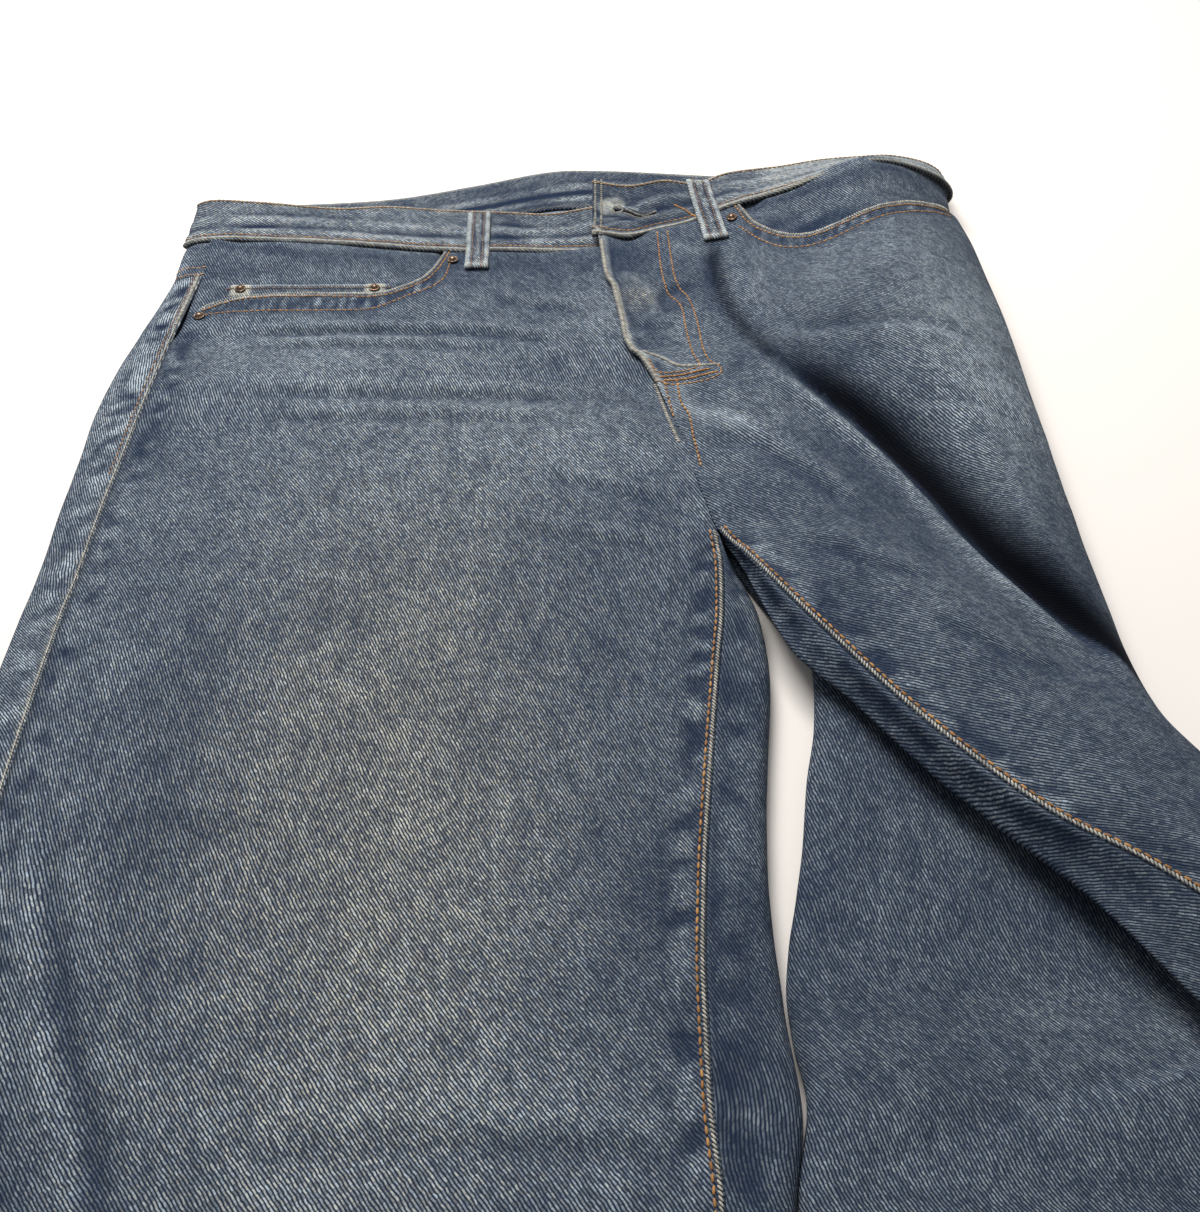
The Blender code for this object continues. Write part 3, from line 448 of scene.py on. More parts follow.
def drawn_in(points, top_gap=SEAM_GAP):
    """The points with their lowest and top rows drawn in by the seam gaps."""
    points[0, :, 1] += 0.5 * SEAM_GAP
    points[-1, :, 1] -= top_gap
    return points


def front_points(side):
    y = heights(HEM_TOP_Y, WAIST_Y)
    section = trimmed(FRONT_SECTION[side](y))
    return drawn_in(raised_to(section, y, lambda x, z: front_top(side, x, z)))


def back_points(side):
    """A back panel; its leg has more columns, so the body's rows end in empty points."""
    section = BACK_SECTION[side]
    y = heights(HEM_TOP_Y, WAIST_Y)
    legs, body = y[y <= CROTCH_Y], y[y > CROTCH_Y]
    low, high = trimmed(section(legs, True)), trimmed(section(body, False))
    padding = np.full((len(body), low.shape[1] - high.shape[1], 2), np.nan)
    section = np.concatenate([low, np.concatenate([high, padding], axis=1)])
    return drawn_in(raised_to(section, y, lambda x, z: along(YOKE_SEAM, x)))


def yoke_points(side, rows=16):
    section = BACK_SECTION[side]
    run = trimmed(section(np.array([WAIST_Y]), False))[0]
    low, high = along(YOKE_SEAM, run[:, 0]), along(WAIST["back"], run[:, 0])
    part = np.linspace(0, 1, rows)[:, None]
    y = mix(low[None, :], high[None, :], part)
    return drawn_in(joined(run[:, 0], y, run[:, 1]), 3 * SEAM_GAP)


def hem_points(side, rows=12):
    y = np.linspace(HEM_Y, HEM_TOP_Y - 0.5 * SEAM_GAP, rows)
    front, back = FRONT_SECTION[side](y), BACK_SECTION[side](y, True)
    if side == "right":
        back = back[:, ::-1]
    ring = np.concatenate([front, back[:, 1:-1]], axis=1)
    return joined(ring[..., 0], y[:, None], ring[..., 1])


def band_points(rows=43):
    """The waistband's grid; the flap's lower edge dips over the fly and stands off it there."""
    seam, top = band_edges()
    seam[:, 1] += SEAM_GAP
    part = np.linspace(0, 1, rows)[:, None]
    points = mix(seam[None], top[None], part[..., None])
    middle, half_width, drop, rise = FLAP_DIP
    on_flap = smoothstep(middle + 3.0, middle + 1.5, points[..., 0]) * (points[..., 2] > 1.2)
    on_flap = on_flap * (np.arange(points.shape[1]) > 0.7 * points.shape[1])
    near_seam = 1 - smoothstep(0.0, 0.7, part)
    dip = bump(points[..., 0], middle, half_width) * on_flap * near_seam
    points[..., 1] -= drop * dip
    points[..., 2] += rise * dip
    return points


def on_front(side, x):
    """The outer face of a front panel along its top row."""
    y = np.array([WAIST_Y])
    section = FRONT_SECTION[side](y)[0]
    top = section[:int(np.argmax(section[:, 0])) + 1]
    return joined(x, np.interp(x, top[:, 0], top[:, 1]))


def facing_points(side, rows=26):
    opening = POCKET_RIGHT if side == "right" else POCKET_LEFT
    if side == "right":
        run = on_front(side, np.linspace(-23.2, -8.8, 90))
    else:
        section = left_front_section(np.array([WAIST_Y]))[0]
        fold = int(np.argmax(section[:, 0]))
        around = [k for k, p in enumerate(section)
                  if p[1] > FACING_LOW_Z and (k >= fold or p[0] > 21.0)]
        run = np.concatenate([on_front(side, np.linspace(8.0, 20.9, 80)), section[around]])
    low = along(opening, run[:, 0]) - FACING_TUCK
    high = along(WAIST[side], run[:, 0]) + FACING_ENDS[side]
    part = np.linspace(0, 1, rows)[:, None]
    y = mix(low[None], high[None], part)
    x = np.broadcast_to(run[:, 0], y.shape)
    rise = FACING_RISE * smoothstep(0.4, 1.0, part) * smoothstep(*FACING_RISE_X, np.abs(x))
    return joined(x, y, run[:, 1] + rise)


def coin_points(rows=18):
    left, right, low, high = COIN_POCKET
    run = on_front("right", np.linspace(left, right, 70))
    y = np.linspace(low, high, rows)[:, None]
    return joined(run[:, 0], y, run[:, 1])


# ---------------------------------------------------------------- noise, creases and lengths

def noise(u, v, seed):
    """Soft seeded noise from -1 to 1, with one cell to a unit."""
    lattice = np.random.default_rng(seed).uniform(-1, 1, (128, 128))
    u, v = np.nan_to_num(u) + 64.0, np.nan_to_num(v) + 64.0
    i, j = np.floor(u).astype(int), np.floor(v).astype(int)
    a, b = smoothstep(0, 1, u - i), smoothstep(0, 1, v - j)
    i, j, i1, j1 = i % 128, j % 128, (i + 1) % 128, (j + 1) % 128
    return mix(mix(lattice[i, j], lattice[i1, j], a), mix(lattice[i, j1], lattice[i1, j1], a), b)


def to_path(x, y, path):
    """Signed distance to a run of (x, y) points, positive on its left, and how far along it is."""
    path = np.asarray(path, float)
    ways = way_along(path)
    best, share = np.full(x.shape, 1e9), np.zeros(x.shape)
    for a, b, start in zip(path[:-1], path[1:], ways):
        d = b - a
        t = np.clip(((x - a[0]) * d[0] + (y - a[1]) * d[1]) / (d @ d), 0, 1)
        gap = np.hypot(x - a[0] - t * d[0], y - a[1] - t * d[1])
        sign = np.sign(d[0] * (y - a[1]) - d[1] * (x - a[0]))
        nearer = gap < np.abs(best)
        best = np.where(nearer, gap * sign, best)
        share = np.where(nearer, (start + t * np.linalg.norm(d)) / ways[-1], share)
    return best, share


def creases(x, y, table):
    """Height and lightness of creases: a soft trough each, with a lower ridge on its left side."""
    height, light = np.zeros(x.shape), np.zeros(x.shape)
    for depth, width, path in table:
        gap, share = to_path(x, y, path)
        fade = plateau(share, 0, 0.22, 0.78, 1) * depth
        fade = fade * (1 - smoothstep(3.5 * width, 4.5 * width, np.abs(gap)))
        trough, ridge = bump(gap, 0, width), bump(gap, 1.7 * width, 1.1 * width)
        height += fade * (0.6 * ridge - trough)
        # Painted shade darkens each trough; the paler ridge is painted light and wear together.
        light += fade * (0.8 * ridge - 1.2 * trough)
    return height, light


def spots(x, y, table):
    """The sum of soft ovals, each with its strength, centre, half sizes and turn in degrees."""
    total = np.zeros(x.shape)
    for strength, cx, cy, rx, ry, turn in table:
        c, s = np.cos(np.radians(turn)), np.sin(np.radians(turn))
        u, v = (x - cx) * c + (y - cy) * s, (y - cy) * c - (x - cx) * s
        total += strength * np.exp(-((u / rx) ** 2 + (v / ry) ** 2))
    return total


def lengths(points):
    """Each point's way along its row from the first column, and down its column from the top."""
    steps = np.nan_to_num(np.linalg.norm(np.diff(points, axis=1), axis=-1))
    across = np.concatenate([np.zeros((len(points), 1)), np.cumsum(steps, axis=1)], axis=1)
    steps = np.nan_to_num(np.linalg.norm(np.diff(points, axis=0), axis=-1))[::-1]
    down = np.concatenate([np.zeros((1, points.shape[1])), np.cumsum(steps, axis=0)])[::-1]
    return across, down


def grain(points, column, spread=12):
    """Cloth coordinates (across, along the warp), the warp parallel to one column."""
    across, _ = lengths(points)
    across = across - across[:, column][:, None]
    line = points[:, column]
    way = way_along(line)
    lean = unit(np.gradient(line, axis=0))[:, 0]
    kernel = np.hanning(2 * spread + 3)
    lean = np.convolve(np.pad(lean, spread + 1, mode="edge"), kernel / kernel.sum(), mode="valid")
    lean = lean[:len(line), None]
    return joined(across * np.sqrt(1 - lean ** 2), way[:, None] + across * lean)


# ---------------------------------------------------------------- meshes

def placed(name, data):
    """A new object in the scene."""
    obj = bpy.data.objects.new(name, data)
    bpy.context.scene.collection.objects.link(obj)
    return obj


class Cloth:
    """A finished piece of cloth: its object, and its outer face as points and normals."""

    def __init__(self, obj, outer, normals, quads):
        self.obj = obj
        self.outer = outer
        self.normals = normals
        self.tree = BVHTree.FromPolygons(np.nan_to_num(outer).reshape(-1, 3).tolist(),
                                         quads.tolist())

    def inset(self, edge, distance, low=-1e9, high=1e9):
        """Points and normals at a distance from an edge of the grid, between two heights in Y."""
        outer, normals = self.outer, self.normals
        if edge in ("top", "bottom"):
            outer, normals = outer.swapaxes(0, 1), normals.swapaxes(0, 1)
        if edge in ("top", "last"):
            outer, normals = outer[:, ::-1], normals[:, ::-1]
        places, ways = [], []
        for row, normal in zip(outer, normals):
            kept = np.isfinite(row[:, 0])
            row, normal = row[kept], normal[kept]
            way = way_along(row)
            place = [np.interp(distance, way, row[:, k]) for k in range(3)]
            if low <= place[1] <= high:
                places.append(place)
                ways.append([np.interp(distance, way, normal[:, k]) for k in range(3)])
        return np.array(places), np.array(ways)


def quads_of(points, closed):
    rows, columns = points.shape[:2]
    index = np.arange(rows * columns).reshape(rows, columns)
    if closed:
        index = np.concatenate([index, index[:, :1]], axis=1)
    quads = np.stack([index[:-1, :-1], index[:-1, 1:], index[1:, 1:], index[1:, :-1]], axis=-1)
    quads = quads.reshape(-1, 4)
    flat = points.reshape(-1, 3)
    return quads[np.isfinite(flat[quads]).all(axis=(1, 2))]


def normals_of(points, quads, outward):
    flat = points.reshape(-1, 3)
    a, b, c, d = (flat[quads[:, k]] for k in range(4))
    cross = unit(np.cross(c - a, d - b))
    normals = np.zeros_like(flat)
    for k in range(4):
        np.add.at(normals, quads[:, k], cross)
    normals *= outward / np.maximum(np.linalg.norm(normals, axis=1, keepdims=True), 1e-9)
    return normals.reshape(points.shape)


def mesh_object(name, points, faces, materials, face_materials):
    """An object from points in centimetres and an array of four-sided faces."""
    mesh = bpy.data.meshes.new(name)
    mesh.vertices.add(len(points))
    mesh.vertices.foreach_set("co", (np.asarray(points) * CM).ravel().astype(np.float32))
    mesh.loops.add(faces.size)
    mesh.loops.foreach_set("vertex_index", faces.ravel().astype(np.int32))
    mesh.polygons.add(len(faces))
    mesh.polygons.foreach_set("loop_start", np.arange(0, faces.size, 4, dtype=np.int32))
    for finish in materials:
        mesh.materials.append(finish)
    mesh.polygons.foreach_set("material_index", face_materials.astype(np.int32))
    mesh.update(calc_edges=True)
    mesh.validate()
    mesh.shade_smooth()
    return placed(name, mesh)


def put_attributes(mesh, uv, looks):
    """The cloth coordinates as a UV map in metres, and each look as a value at every point."""
    corners = np.zeros(len(mesh.loops), dtype=np.int32)
    mesh.loops.foreach_get("vertex_index", corners)
    layer = mesh.uv_layers.new(name="cloth")
    layer.data.foreach_set("uv", (uv[corners] * CM).ravel().astype(np.float32))
    for name, values in looks.items():
        made = mesh.attributes.new(name, "FLOAT", "POINT")
        made.data.foreach_set("value", values.astype(np.float32))


def cloth(name, points, uv, looks, finish, thickness=WALL, outward=1, folds=0.0, raised=0.0,
          depth=0.0, closed=False, over=0.0):
    """A thin shell with rounded edges over a grid of outer points, in centimetres.

    folds move both faces along the normals, raised moves the outer face alone, depth sinks both.
    No face goes under the floor, and one that looks up stays at least `over` above it.
    """
    quads = quads_of(points, closed)
    normals = normals_of(points, quads, outward)
    base = points + normals * np.broadcast_to(folds - depth, points.shape[:2])[..., None]
    normals = normals_of(base, quads, outward)
    outer = base + normals * np.broadcast_to(raised, points.shape[:2])[..., None]
    inner = base - normals * thickness
    lowest = np.nan_to_num(np.minimum(outer[..., 2], inner[..., 2]))
    rise = np.maximum(0.0, over * smoothstep(0.3, 0.7, np.nan_to_num(normals[..., 2])) - lowest)
    outer[..., 2] += rise
    inner[..., 2] += rise
    outer_face, inner_face, normal = (v.reshape(-1, 3) for v in (outer, inner, normals))
    count = len(normal)
    directed = np.concatenate([quads[:, [k, (k + 1) % 4]] for k in range(4)])
    key = directed[:, 0] * count + directed[:, 1]
    back = directed[:, 1] * count + directed[:, 0]
    border = directed[~np.isin(key, back)]
    away = np.zeros_like(normal)
    a, b = border[:, 0], border[:, 1]
    side = unit(np.cross(outer_face[b] - outer_face[a], normal[a]) * outward)
    for k in (0, 1):
        np.add.at(away, border[:, k], side)
    away = unit(away)
    edge_points = np.unique(border)
    slot = np.full(count, -1)
    slot[edge_points] = np.arange(len(edge_points)) + 2 * count
    width = np.linalg.norm(outer_face - inner_face, axis=1)[edge_points, None]
    middle = 0.5 * (outer_face + inner_face)[edge_points] + away[edge_points] * RIM_BULGE * width
    outer_face, inner_face = outer_face.copy(), inner_face.copy()
    outer_face[edge_points] -= normal[edge_points] * RIM_ROUND * width
    inner_face[edge_points] += normal[edge_points] * RIM_ROUND * width
    rims = [np.stack([b, a, slot[a], slot[b]], axis=1),
            np.stack([slot[b], slot[a], a + count, b + count], axis=1)]
    faces = np.concatenate([quads, quads[:, ::-1] + count, *rims])
    if outward < 0:
        faces = faces[:, ::-1]
    kinds = np.zeros(len(faces), dtype=int)
    kinds[len(quads):2 * len(quads)] = 1
    everything = np.concatenate([outer_face, inner_face, middle])
    source = np.concatenate([np.arange(count), np.arange(count), edge_points])
    used = np.unique(faces)
    fresh = np.full(len(everything), -1)
    fresh[used] = np.arange(len(used))
    faces = fresh[faces]
    obj = mesh_object(name, everything[used], faces, finish, kinds)
    source = source[used]
    looks = {"painted_shade": 0.0, **looks}
    values = {key: np.nan_to_num(np.broadcast_to(value, points.shape[:2]).reshape(-1))[source]
              for key, value in looks.items()}
    put_attributes(obj.data, np.nan_to_num(uv.reshape(-1, 2))[source], values)
    return Cloth(obj, outer, normals, quads)


def keep(piece, slot, *nodes):
    """Rides a piece on the body and stands it for its solids; the slot argument is not used."""
    obj = piece.obj if isinstance(piece, Cloth) else piece
    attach(obj, "root")
    if nodes:
        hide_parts(*nodes)
    return piece


# ---------------------------------------------------------------- shader nodes

def add_node(tree, kind, *values, output=0, **settings):
    """A new node's output; each value is a number, a vector, a linked socket or None."""
    made = tree.nodes.new(kind)
    for key, value in settings.items():
        setattr(made, key, value)
    for socket, value in zip(made.inputs, values):
        if isinstance(value, bpy.types.NodeSocket):
            tree.links.new(value, socket)
        elif value is not None:
            socket.default_value = value
    return made.outputs[output]


class Shade:
    """The nodes of one material, with short calls for the sums in them."""

    def __init__(self, name):
        self.material = bpy.data.materials.new(name)
        self.material.use_nodes = True
        self.tree = self.material.node_tree
        self.shader = self.tree.nodes["Principled BSDF"]

    def sum(self, operation, *values, clamp=False):
        return add_node(self.tree, "ShaderNodeMath", *values, operation=operation, use_clamp=clamp)

    def attribute(self, name):
        return add_node(self.tree, "ShaderNodeAttribute", output=2, attribute_name=name)

    def blend(self, part, a, b):
        made = self.tree.nodes.new("ShaderNodeMix")
        made.data_type = "RGBA"
        for index, value in ((0, part), (6, a), (7, b)):
            if isinstance(value, bpy.types.NodeSocket):
                self.tree.links.new(value, made.inputs[index])
            else:
                made.inputs[index].default_value = (*value, 1.0) if index else value
        return made.outputs[2]

    def noise(self, vector, scale, detail=2.0, roughness=0.5):
        return add_node(self.tree, "ShaderNodeTexNoise", vector, None, scale, detail, roughness)

    def stretch(self, vector, scale, turn=0.0):
        """A plane's coordinates turned by some degrees and then divided by a cell's sizes."""
        turned = add_node(self.tree, "ShaderNodeMapping", vector, None, (0, 0, np.radians(turn)))
        cells = (1 / scale[0], 1 / scale[1], 1.0)
        return add_node(self.tree, "ShaderNodeVectorMath", turned, cells, operation="MULTIPLY")

    def range(self, value, low, high, to_low=0.0, to_high=1.0):
        return add_node(self.tree, "ShaderNodeMapRange", value, low, high, to_low, to_high)

    def random(self, a, b):
        """A fixed random number from 0 to 1 for each pair of whole numbers."""
        pair = add_node(self.tree, "ShaderNodeCombineXYZ", a, b, 0.5)
        return add_node(self.tree, "ShaderNodeTexWhiteNoise", pair)

    def split(self, vector):
        made = self.tree.nodes.new("ShaderNodeSeparateXYZ")
        self.tree.links.new(vector, made.inputs[0])
        return made.outputs[0], made.outputs[1]

    def plane(self):
        """The cloth coordinates in centimetres."""
        uv = add_node(self.tree, "ShaderNodeUVMap", uv_map="cloth")
        return add_node(self.tree, "ShaderNodeVectorMath", uv, None, None, 100.0,
                        operation="SCALE")

    def set(self, name, value):
        socket = self.shader.inputs[name]
        if isinstance(value, bpy.types.NodeSocket):
            self.tree.links.new(value, socket)
        else:
            socket.default_value = value

    def finish(self, colour, roughness, relief=None, specular=0.5, metallic=0.0):
        """The finished material; relief is a bump's strength, depth in metres and height."""
        self.set("Base Color", colour)
        self.set("Roughness", roughness)
        self.set("Specular IOR Level", specular)
        self.set("Metallic", metallic)
        if relief:
            strength, depth, height = relief
            self.set("Normal",
                     add_node(self.tree, "ShaderNodeBump", strength, depth, None, height))
        return self.material


WALE = 0.125           # from one twill line to the next
DASH = 0.21            # length of one float of the weft or warp along a twill line
TWILL_TURN = 30.0      # degrees from the warp


def denim(name, indigo, pale, beige, swing=2.4):
    """Washed twill: pale broken lines over near-black indigo, with slubs, clouds and rubbed edges.

    Pale yarn's share has painted shade worked in; rub lightens the valleys too, tint turns beige.
    """
    s = Shade(name)
    plane = s.plane()

    def uneven(cell, low, high, *detail):
        return s.range(s.noise(s.stretch(plane, cell), 1.0, *detail), 0.3, 0.7, low, high)

    lean = s.stretch(plane, (1.0, 1.0), -TWILL_TURN)
    x, y = s.split(lean)
    wander, waver = (s.sum("MULTIPLY", s.sum("SUBTRACT", s.noise(plane, scale), 0.5), reach)
                     for scale, reach in ((0.45, 0.9), (3.2, 0.8)))
    phase = s.sum("ADD", s.sum("DIVIDE", x, WALE), s.sum("ADD", wander, waver))
    line = s.sum("MULTIPLY_ADD", s.sum("COSINE", s.sum("MULTIPLY", phase, 2 * np.pi)), -0.5, 0.5)
    line = s.range(line, 0.16, 0.86)
    index = s.sum("FLOOR", phase)
    start = s.sum("MULTIPLY", s.random(index, 0.0), 7.0)
    along_line = s.sum("ADD", s.sum("DIVIDE", y, DASH), start)
    cell = s.sum("FLOOR", along_line)
    near_end = s.sum("ABSOLUTE", s.sum("SUBTRACT", s.sum("FRACT", along_line), 0.5))
    tone = s.sum("MULTIPLY_ADD", s.random(index, cell), 0.8, 0.42)
    dash = s.sum("MULTIPLY", tone, s.range(near_end, 0.5, 0.36, 0.50, 1.0))
    slub = uneven((0.10, 1.6), 0.82, 1.16)
    pick = uneven((1.3, 0.10), 0.86, 1.14)
    weave = s.sum("MULTIPLY", s.sum("MULTIPLY", line, dash), s.sum("MULTIPLY", slub, pick))
    cloud = uneven((0.9, 1.3), 0.70, 1.30, 3.0, 0.6)
    speck = s.range(s.noise(plane, 6.5, 1.0), 0.3, 0.7, 0.8, 1.2)
    wash_and_shade = s.sum("MULTIPLY", s.attribute("wash_and_shade"), s.sum("MULTIPLY", cloud, speck))
    part = s.sum("MULTIPLY", wash_and_shade, s.sum("MULTIPLY_ADD", weave, swing, 0.03))
    rub = s.sum("MULTIPLY", s.attribute("rub"), s.sum("MULTIPLY_ADD", weave, 0.6, 0.65))
    part = s.sum("ADD", part, rub, clamp=True)
    yarn = s.sum("MULTIPLY_ADD", s.random(cell, index), 0.7, -0.3)
    light = s.blend(s.sum("ADD", s.attribute("tint"), yarn, clamp=True), pale, beige)
    # Painted shade: this look pulls the colour to near black in dark folds, holes and under edges.
    shown = s.sum("SUBTRACT", 1.0, s.attribute("painted_shade"), clamp=True)
    colour = s.blend(shown, (0.002, 0.002, 0.003), s.blend(part, indigo, light))
    return s.finish(colour, 0.95, (0.3, 0.0003, weave), specular=0.06)


def thread(name, dark, light, roughness=0.62):
    """Twisted sewing thread, each stitch a little lighter or darker than the next."""
    s = Shade(name)
    place = add_node(s.tree, "ShaderNodeTexCoord", output=3)
    grains = s.noise(place, 1400.0, 2.0)
    part = s.sum("MULTIPLY_ADD", grains, 0.5, s.sum("MULTIPLY", s.attribute("shade"), 0.6),
                 clamp=True)
    return s.finish(s.blend(part, dark, light), roughness, (0.5, 0.0002, grains), specular=0.35)


def brass(name):
    """Antique brass, dark in its hollows and rubbed bright here and there."""
    s = Shade(name)
    place = add_node(s.tree, "ShaderNodeTexCoord", output=3)
    wear = s.noise(place, 900.0, 4.0, 0.7)
    part = s.range(wear, 0.45, 0.66)
    return s.finish(s.blend(part, (0.060, 0.040, 0.030), (0.34, 0.22, 0.14)),
                    s.sum("MULTIPLY_ADD", part, -0.15, 0.38), (0.4, 0.0002, wear), metallic=0.75)


def floor_finish(name):
    s = Shade(name)
    place = add_node(s.tree, "ShaderNodeTexCoord", output=3)
    return s.finish(s.blend(s.noise(place, 3.0, 2.0), (0.80, 0.75, 0.71), (0.82, 0.77, 0.73)), 0.8)


# ---------------------------------------------------------------- stitches and worn seam ridges

def row_tree(name, segments, rings):
    """Geometry Nodes: a rounded bead on every step of each curve, turned on the cloth's face."""
    tree = bpy.data.node_groups.new(name, "GeometryNodeTree")

    def random(low, high, seed):
        return add_node(tree, "FunctionNodeRandomValue", None, None, low, high, *[None] * 4, seed,
                        output=1, data_type="FLOAT")

    face = tree.interface
    face.new_socket("Curves", in_out="INPUT", socket_type="NodeSocketGeometry")
    for label in ("Spacing", "Length", "Width", "Height", "Twist"):
        face.new_socket(label, in_out="INPUT", socket_type="NodeSocketFloat")
    face.new_socket("Finish", in_out="INPUT", socket_type="NodeSocketMaterial")
    face.new_socket("Beads", in_out="OUTPUT", socket_type="NodeSocketGeometry")
    start = tree.nodes.new("NodeGroupInput")
    curves, spacing, length, width, height, twist, finish = start.outputs[:7]
    curve = add_node(tree, "GeometryNodeMeshToCurve", curves)
    points = tree.nodes.new("GeometryNodeCurveToPoints")
    points.mode = "LENGTH"
    tree.links.new(curve, points.inputs["Curve"])
    tree.links.new(spacing, points.inputs["Length"])
    up = add_node(tree, "GeometryNodeInputNamedAttribute", "face", data_type="FLOAT_VECTOR")
    turned = add_node(tree, "FunctionNodeAxesToRotation", up, points.outputs["Tangent"],
                      primary_axis="Z", secondary_axis="X")
    tilt = random(-0.12, 0.12, 3)
    angle = add_node(tree, "ShaderNodeMath", twist, tilt, operation="ADD")
    twist_by = add_node(tree, "FunctionNodeAxisAngleToRotation", (0.0, 0.0, 1.0), angle)
    turned = add_node(tree, "FunctionNodeRotateRotation", turned, twist_by, rotation_space="LOCAL")
    bead = add_node(tree, "GeometryNodeMeshUVSphere", segments, rings, 0.5)
    size = add_node(tree, "ShaderNodeCombineXYZ", length, width, height)
    made = add_node(tree, "GeometryNodeInstanceOnPoints", points.outputs[0], None, bead, None,
                    None, turned, size)
    shade = random(0.0, 1.0, 7)
    made = add_node(tree, "GeometryNodeStoreNamedAttribute", made, None, "shade", shade,
                    domain="INSTANCE", data_type="FLOAT")
    made = add_node(tree, "GeometryNodeRealizeInstances", made)
    made = add_node(tree, "GeometryNodeSetShadeSmooth", made)
    made = add_node(tree, "GeometryNodeSetMaterial", made, None, finish)
    end = tree.nodes.new("NodeGroupOutput")
    tree.links.new(made, end.inputs[0])
    return tree


def beads(name, tree, lines, finish, spacing, length, width, height, twist=0.0, lift=0.0):
    """One mesh of beads along lines, each a pair of points and the cloth's normals there."""
    places, faces, edges = [], [], []
    for points, normals in lines:
        if len(points) < 2:
            continue
        count = sum(len(p) for p in places)
        places.append(points + normals * lift)
        faces.append(normals)
        edges += [(count + k, count + k + 1) for k in range(len(points) - 1)]
    mesh = bpy.data.meshes.new(name)
    mesh.from_pydata((np.concatenate(places) * CM).tolist(), edges, [])
    made = mesh.attributes.new("face", "FLOAT_VECTOR", "POINT")
    made.data.foreach_set("vector", np.concatenate(faces).ravel().astype(np.float32))
    guide = placed(f"{name}_guide", mesh)
    modifier = guide.modifiers.new("beads", "NODES")
    modifier.node_group = tree
    sizes = {"Spacing": spacing * CM, "Length": length * CM, "Width": width * CM,
             "Height": height * CM, "Twist": np.radians(twist), "Finish": finish}
    for item in tree.interface.items_tree:
        if item.in_out == "INPUT" and item.name in sizes:
            modifier[item.identifier] = sizes[item.name]
    depsgraph = bpy.context.evaluated_depsgraph_get()
    result = bpy.data.meshes.new_from_object(guide.evaluated_get(depsgraph))
    result.name = name
    bpy.data.objects.remove(guide, do_unlink=True)
    return placed(name, result)


# ---------------------------------------------------------------- looks of the panels

# Soft creases: depth, half width and their run of (x, y) points. The higher side is on the left.
CREASES_RIGHT = (
    (0.20, 0.36, ((-20.5, 10.3), (-13.0, 10.6), (-6.0, 10.2), (-1.0, 9.4))),
    (0.15, 0.32, ((-19.5, 9.0), (-12.0, 9.2), (-5.0, 8.6))),
    (0.18, 0.42, ((-20.0, 5.2), (-12.0, 5.1), (-4.0, 4.8), (0.5, 4.4))),
    (0.15, 0.40, ((-18.5, 3.0), (-10.0, 3.3), (-1.0, 2.8))),
    (0.26, 0.50, ((-15.0, -37.0), (-16.7, -32.1), (-18.3, -29.1), (-19.8, -25.5), (-20.9, -22.4),
                  (-21.4, -18.5))),
    (0.12, 0.55, ((-12.0, -32.6), (-4.0, -32.2), (3.4, -32.9))),
    (0.12, 0.40, ((-3.2, -1.0), (0.2, -2.0), (3.4, -3.4))),
    (0.10, 0.40, ((-5.0, -4.5), (-0.4, -5.4), (3.6, -6.4))),
    (0.12, 0.40, ((-6.4, 13.6), (-3.4, 12.6), (-0.6, 12.4))),
    (0.10, 0.70, ((-16.0, -44.0), (-6.0, -45.5), (2.0, -44.6))),
    (0.10, 0.80, ((-14.0, -52.0), (-5.0, -51.0), (2.0, -52.6))),
    (0.09, 0.80, ((-13.5, -66.0), (-5.0, -67.0), (1.5, -66.2))),
)
CREASES_LEFT = (
    (0.55, 0.55, ((22.6, -13.6), (20.9, -11.4), (19.3, -9.0), (18.0, -7.0), (17.0, -5.0),
                  (15.6, -2.2), (14.2, 0.5), (12.9, 2.4), (11.2, 4.5), (9.4, 6.6), (8.2, 7.6))),
    (0.14, 0.45, ((21.6, 6.4), (17.0, 7.4), (12.6, 8.4), (9.2, 9.2))),
    (0.10, 0.40, ((22.0, 1.0), (18.0, 2.2), (14.6, 2.6))),
    (0.16, 0.45, ((6.6, 17.4), (6.2, 14.6), (6.5, 11.6), (7.4, 9.0))),
    (0.12, 0.40, ((2.4, 12.0), (4.0, 13.4), (5.6, 13.8))),
    (0.10, 0.30, ((1.6, 10.6), (3.0, 10.3), (4.2, 10.4))),
    (0.16, 0.50, ((5.2, 1.8), (7.4, 0.2), (10.0, -3.0), (12.0, -5.6))),
    (0.12, 0.40, ((9.0, -6.4), (11.5, -8.6), (14.6, -10.0))),
    (0.12, 0.40, ((13.6, -12.0), (16.6, -13.8), (19.4, -14.6))),
)

# Folds in shadow on the left front: strength, reach of the soft and of the hard side, and run.
DARK_FOLDS = (
    (0.95, 2.2, 0.35, ((24.0, -15.4), (22.6, -13.4), (20.9, -11.0), (19.3, -8.6), (18.0, -6.6),
                       (17.0, -4.6), (15.6, -1.8), (14.2, 0.7), (12.9, 2.6), (11.2, 4.7),
                       (9.4, 6.8), (8.0, 8.2))),
    (0.55, 0.9, 0.5, ((9.6, 6.0), (7.6, 9.4), (6.7, 12.6), (6.4, 15.6), (6.6, 18.4))),
)
# The left front's edge wanders a little over the fly: height and shift.
FLY_WANDER = ((-90.0, 0.0), (-10.0, 0.0), (-7.0, -0.22), (-4.0, -0.34), (-1.0, -0.28), (2.0, 0.0),
              (6.2, 0.0), (7.9, -0.10), (8.4, -0.38), (9.3, -0.38), (10.9, -0.08), (12.7, 0.20),
              (14.3, 0.28), (14.9, 0.10), (15.7, 0.0), (19.0, 0.0))
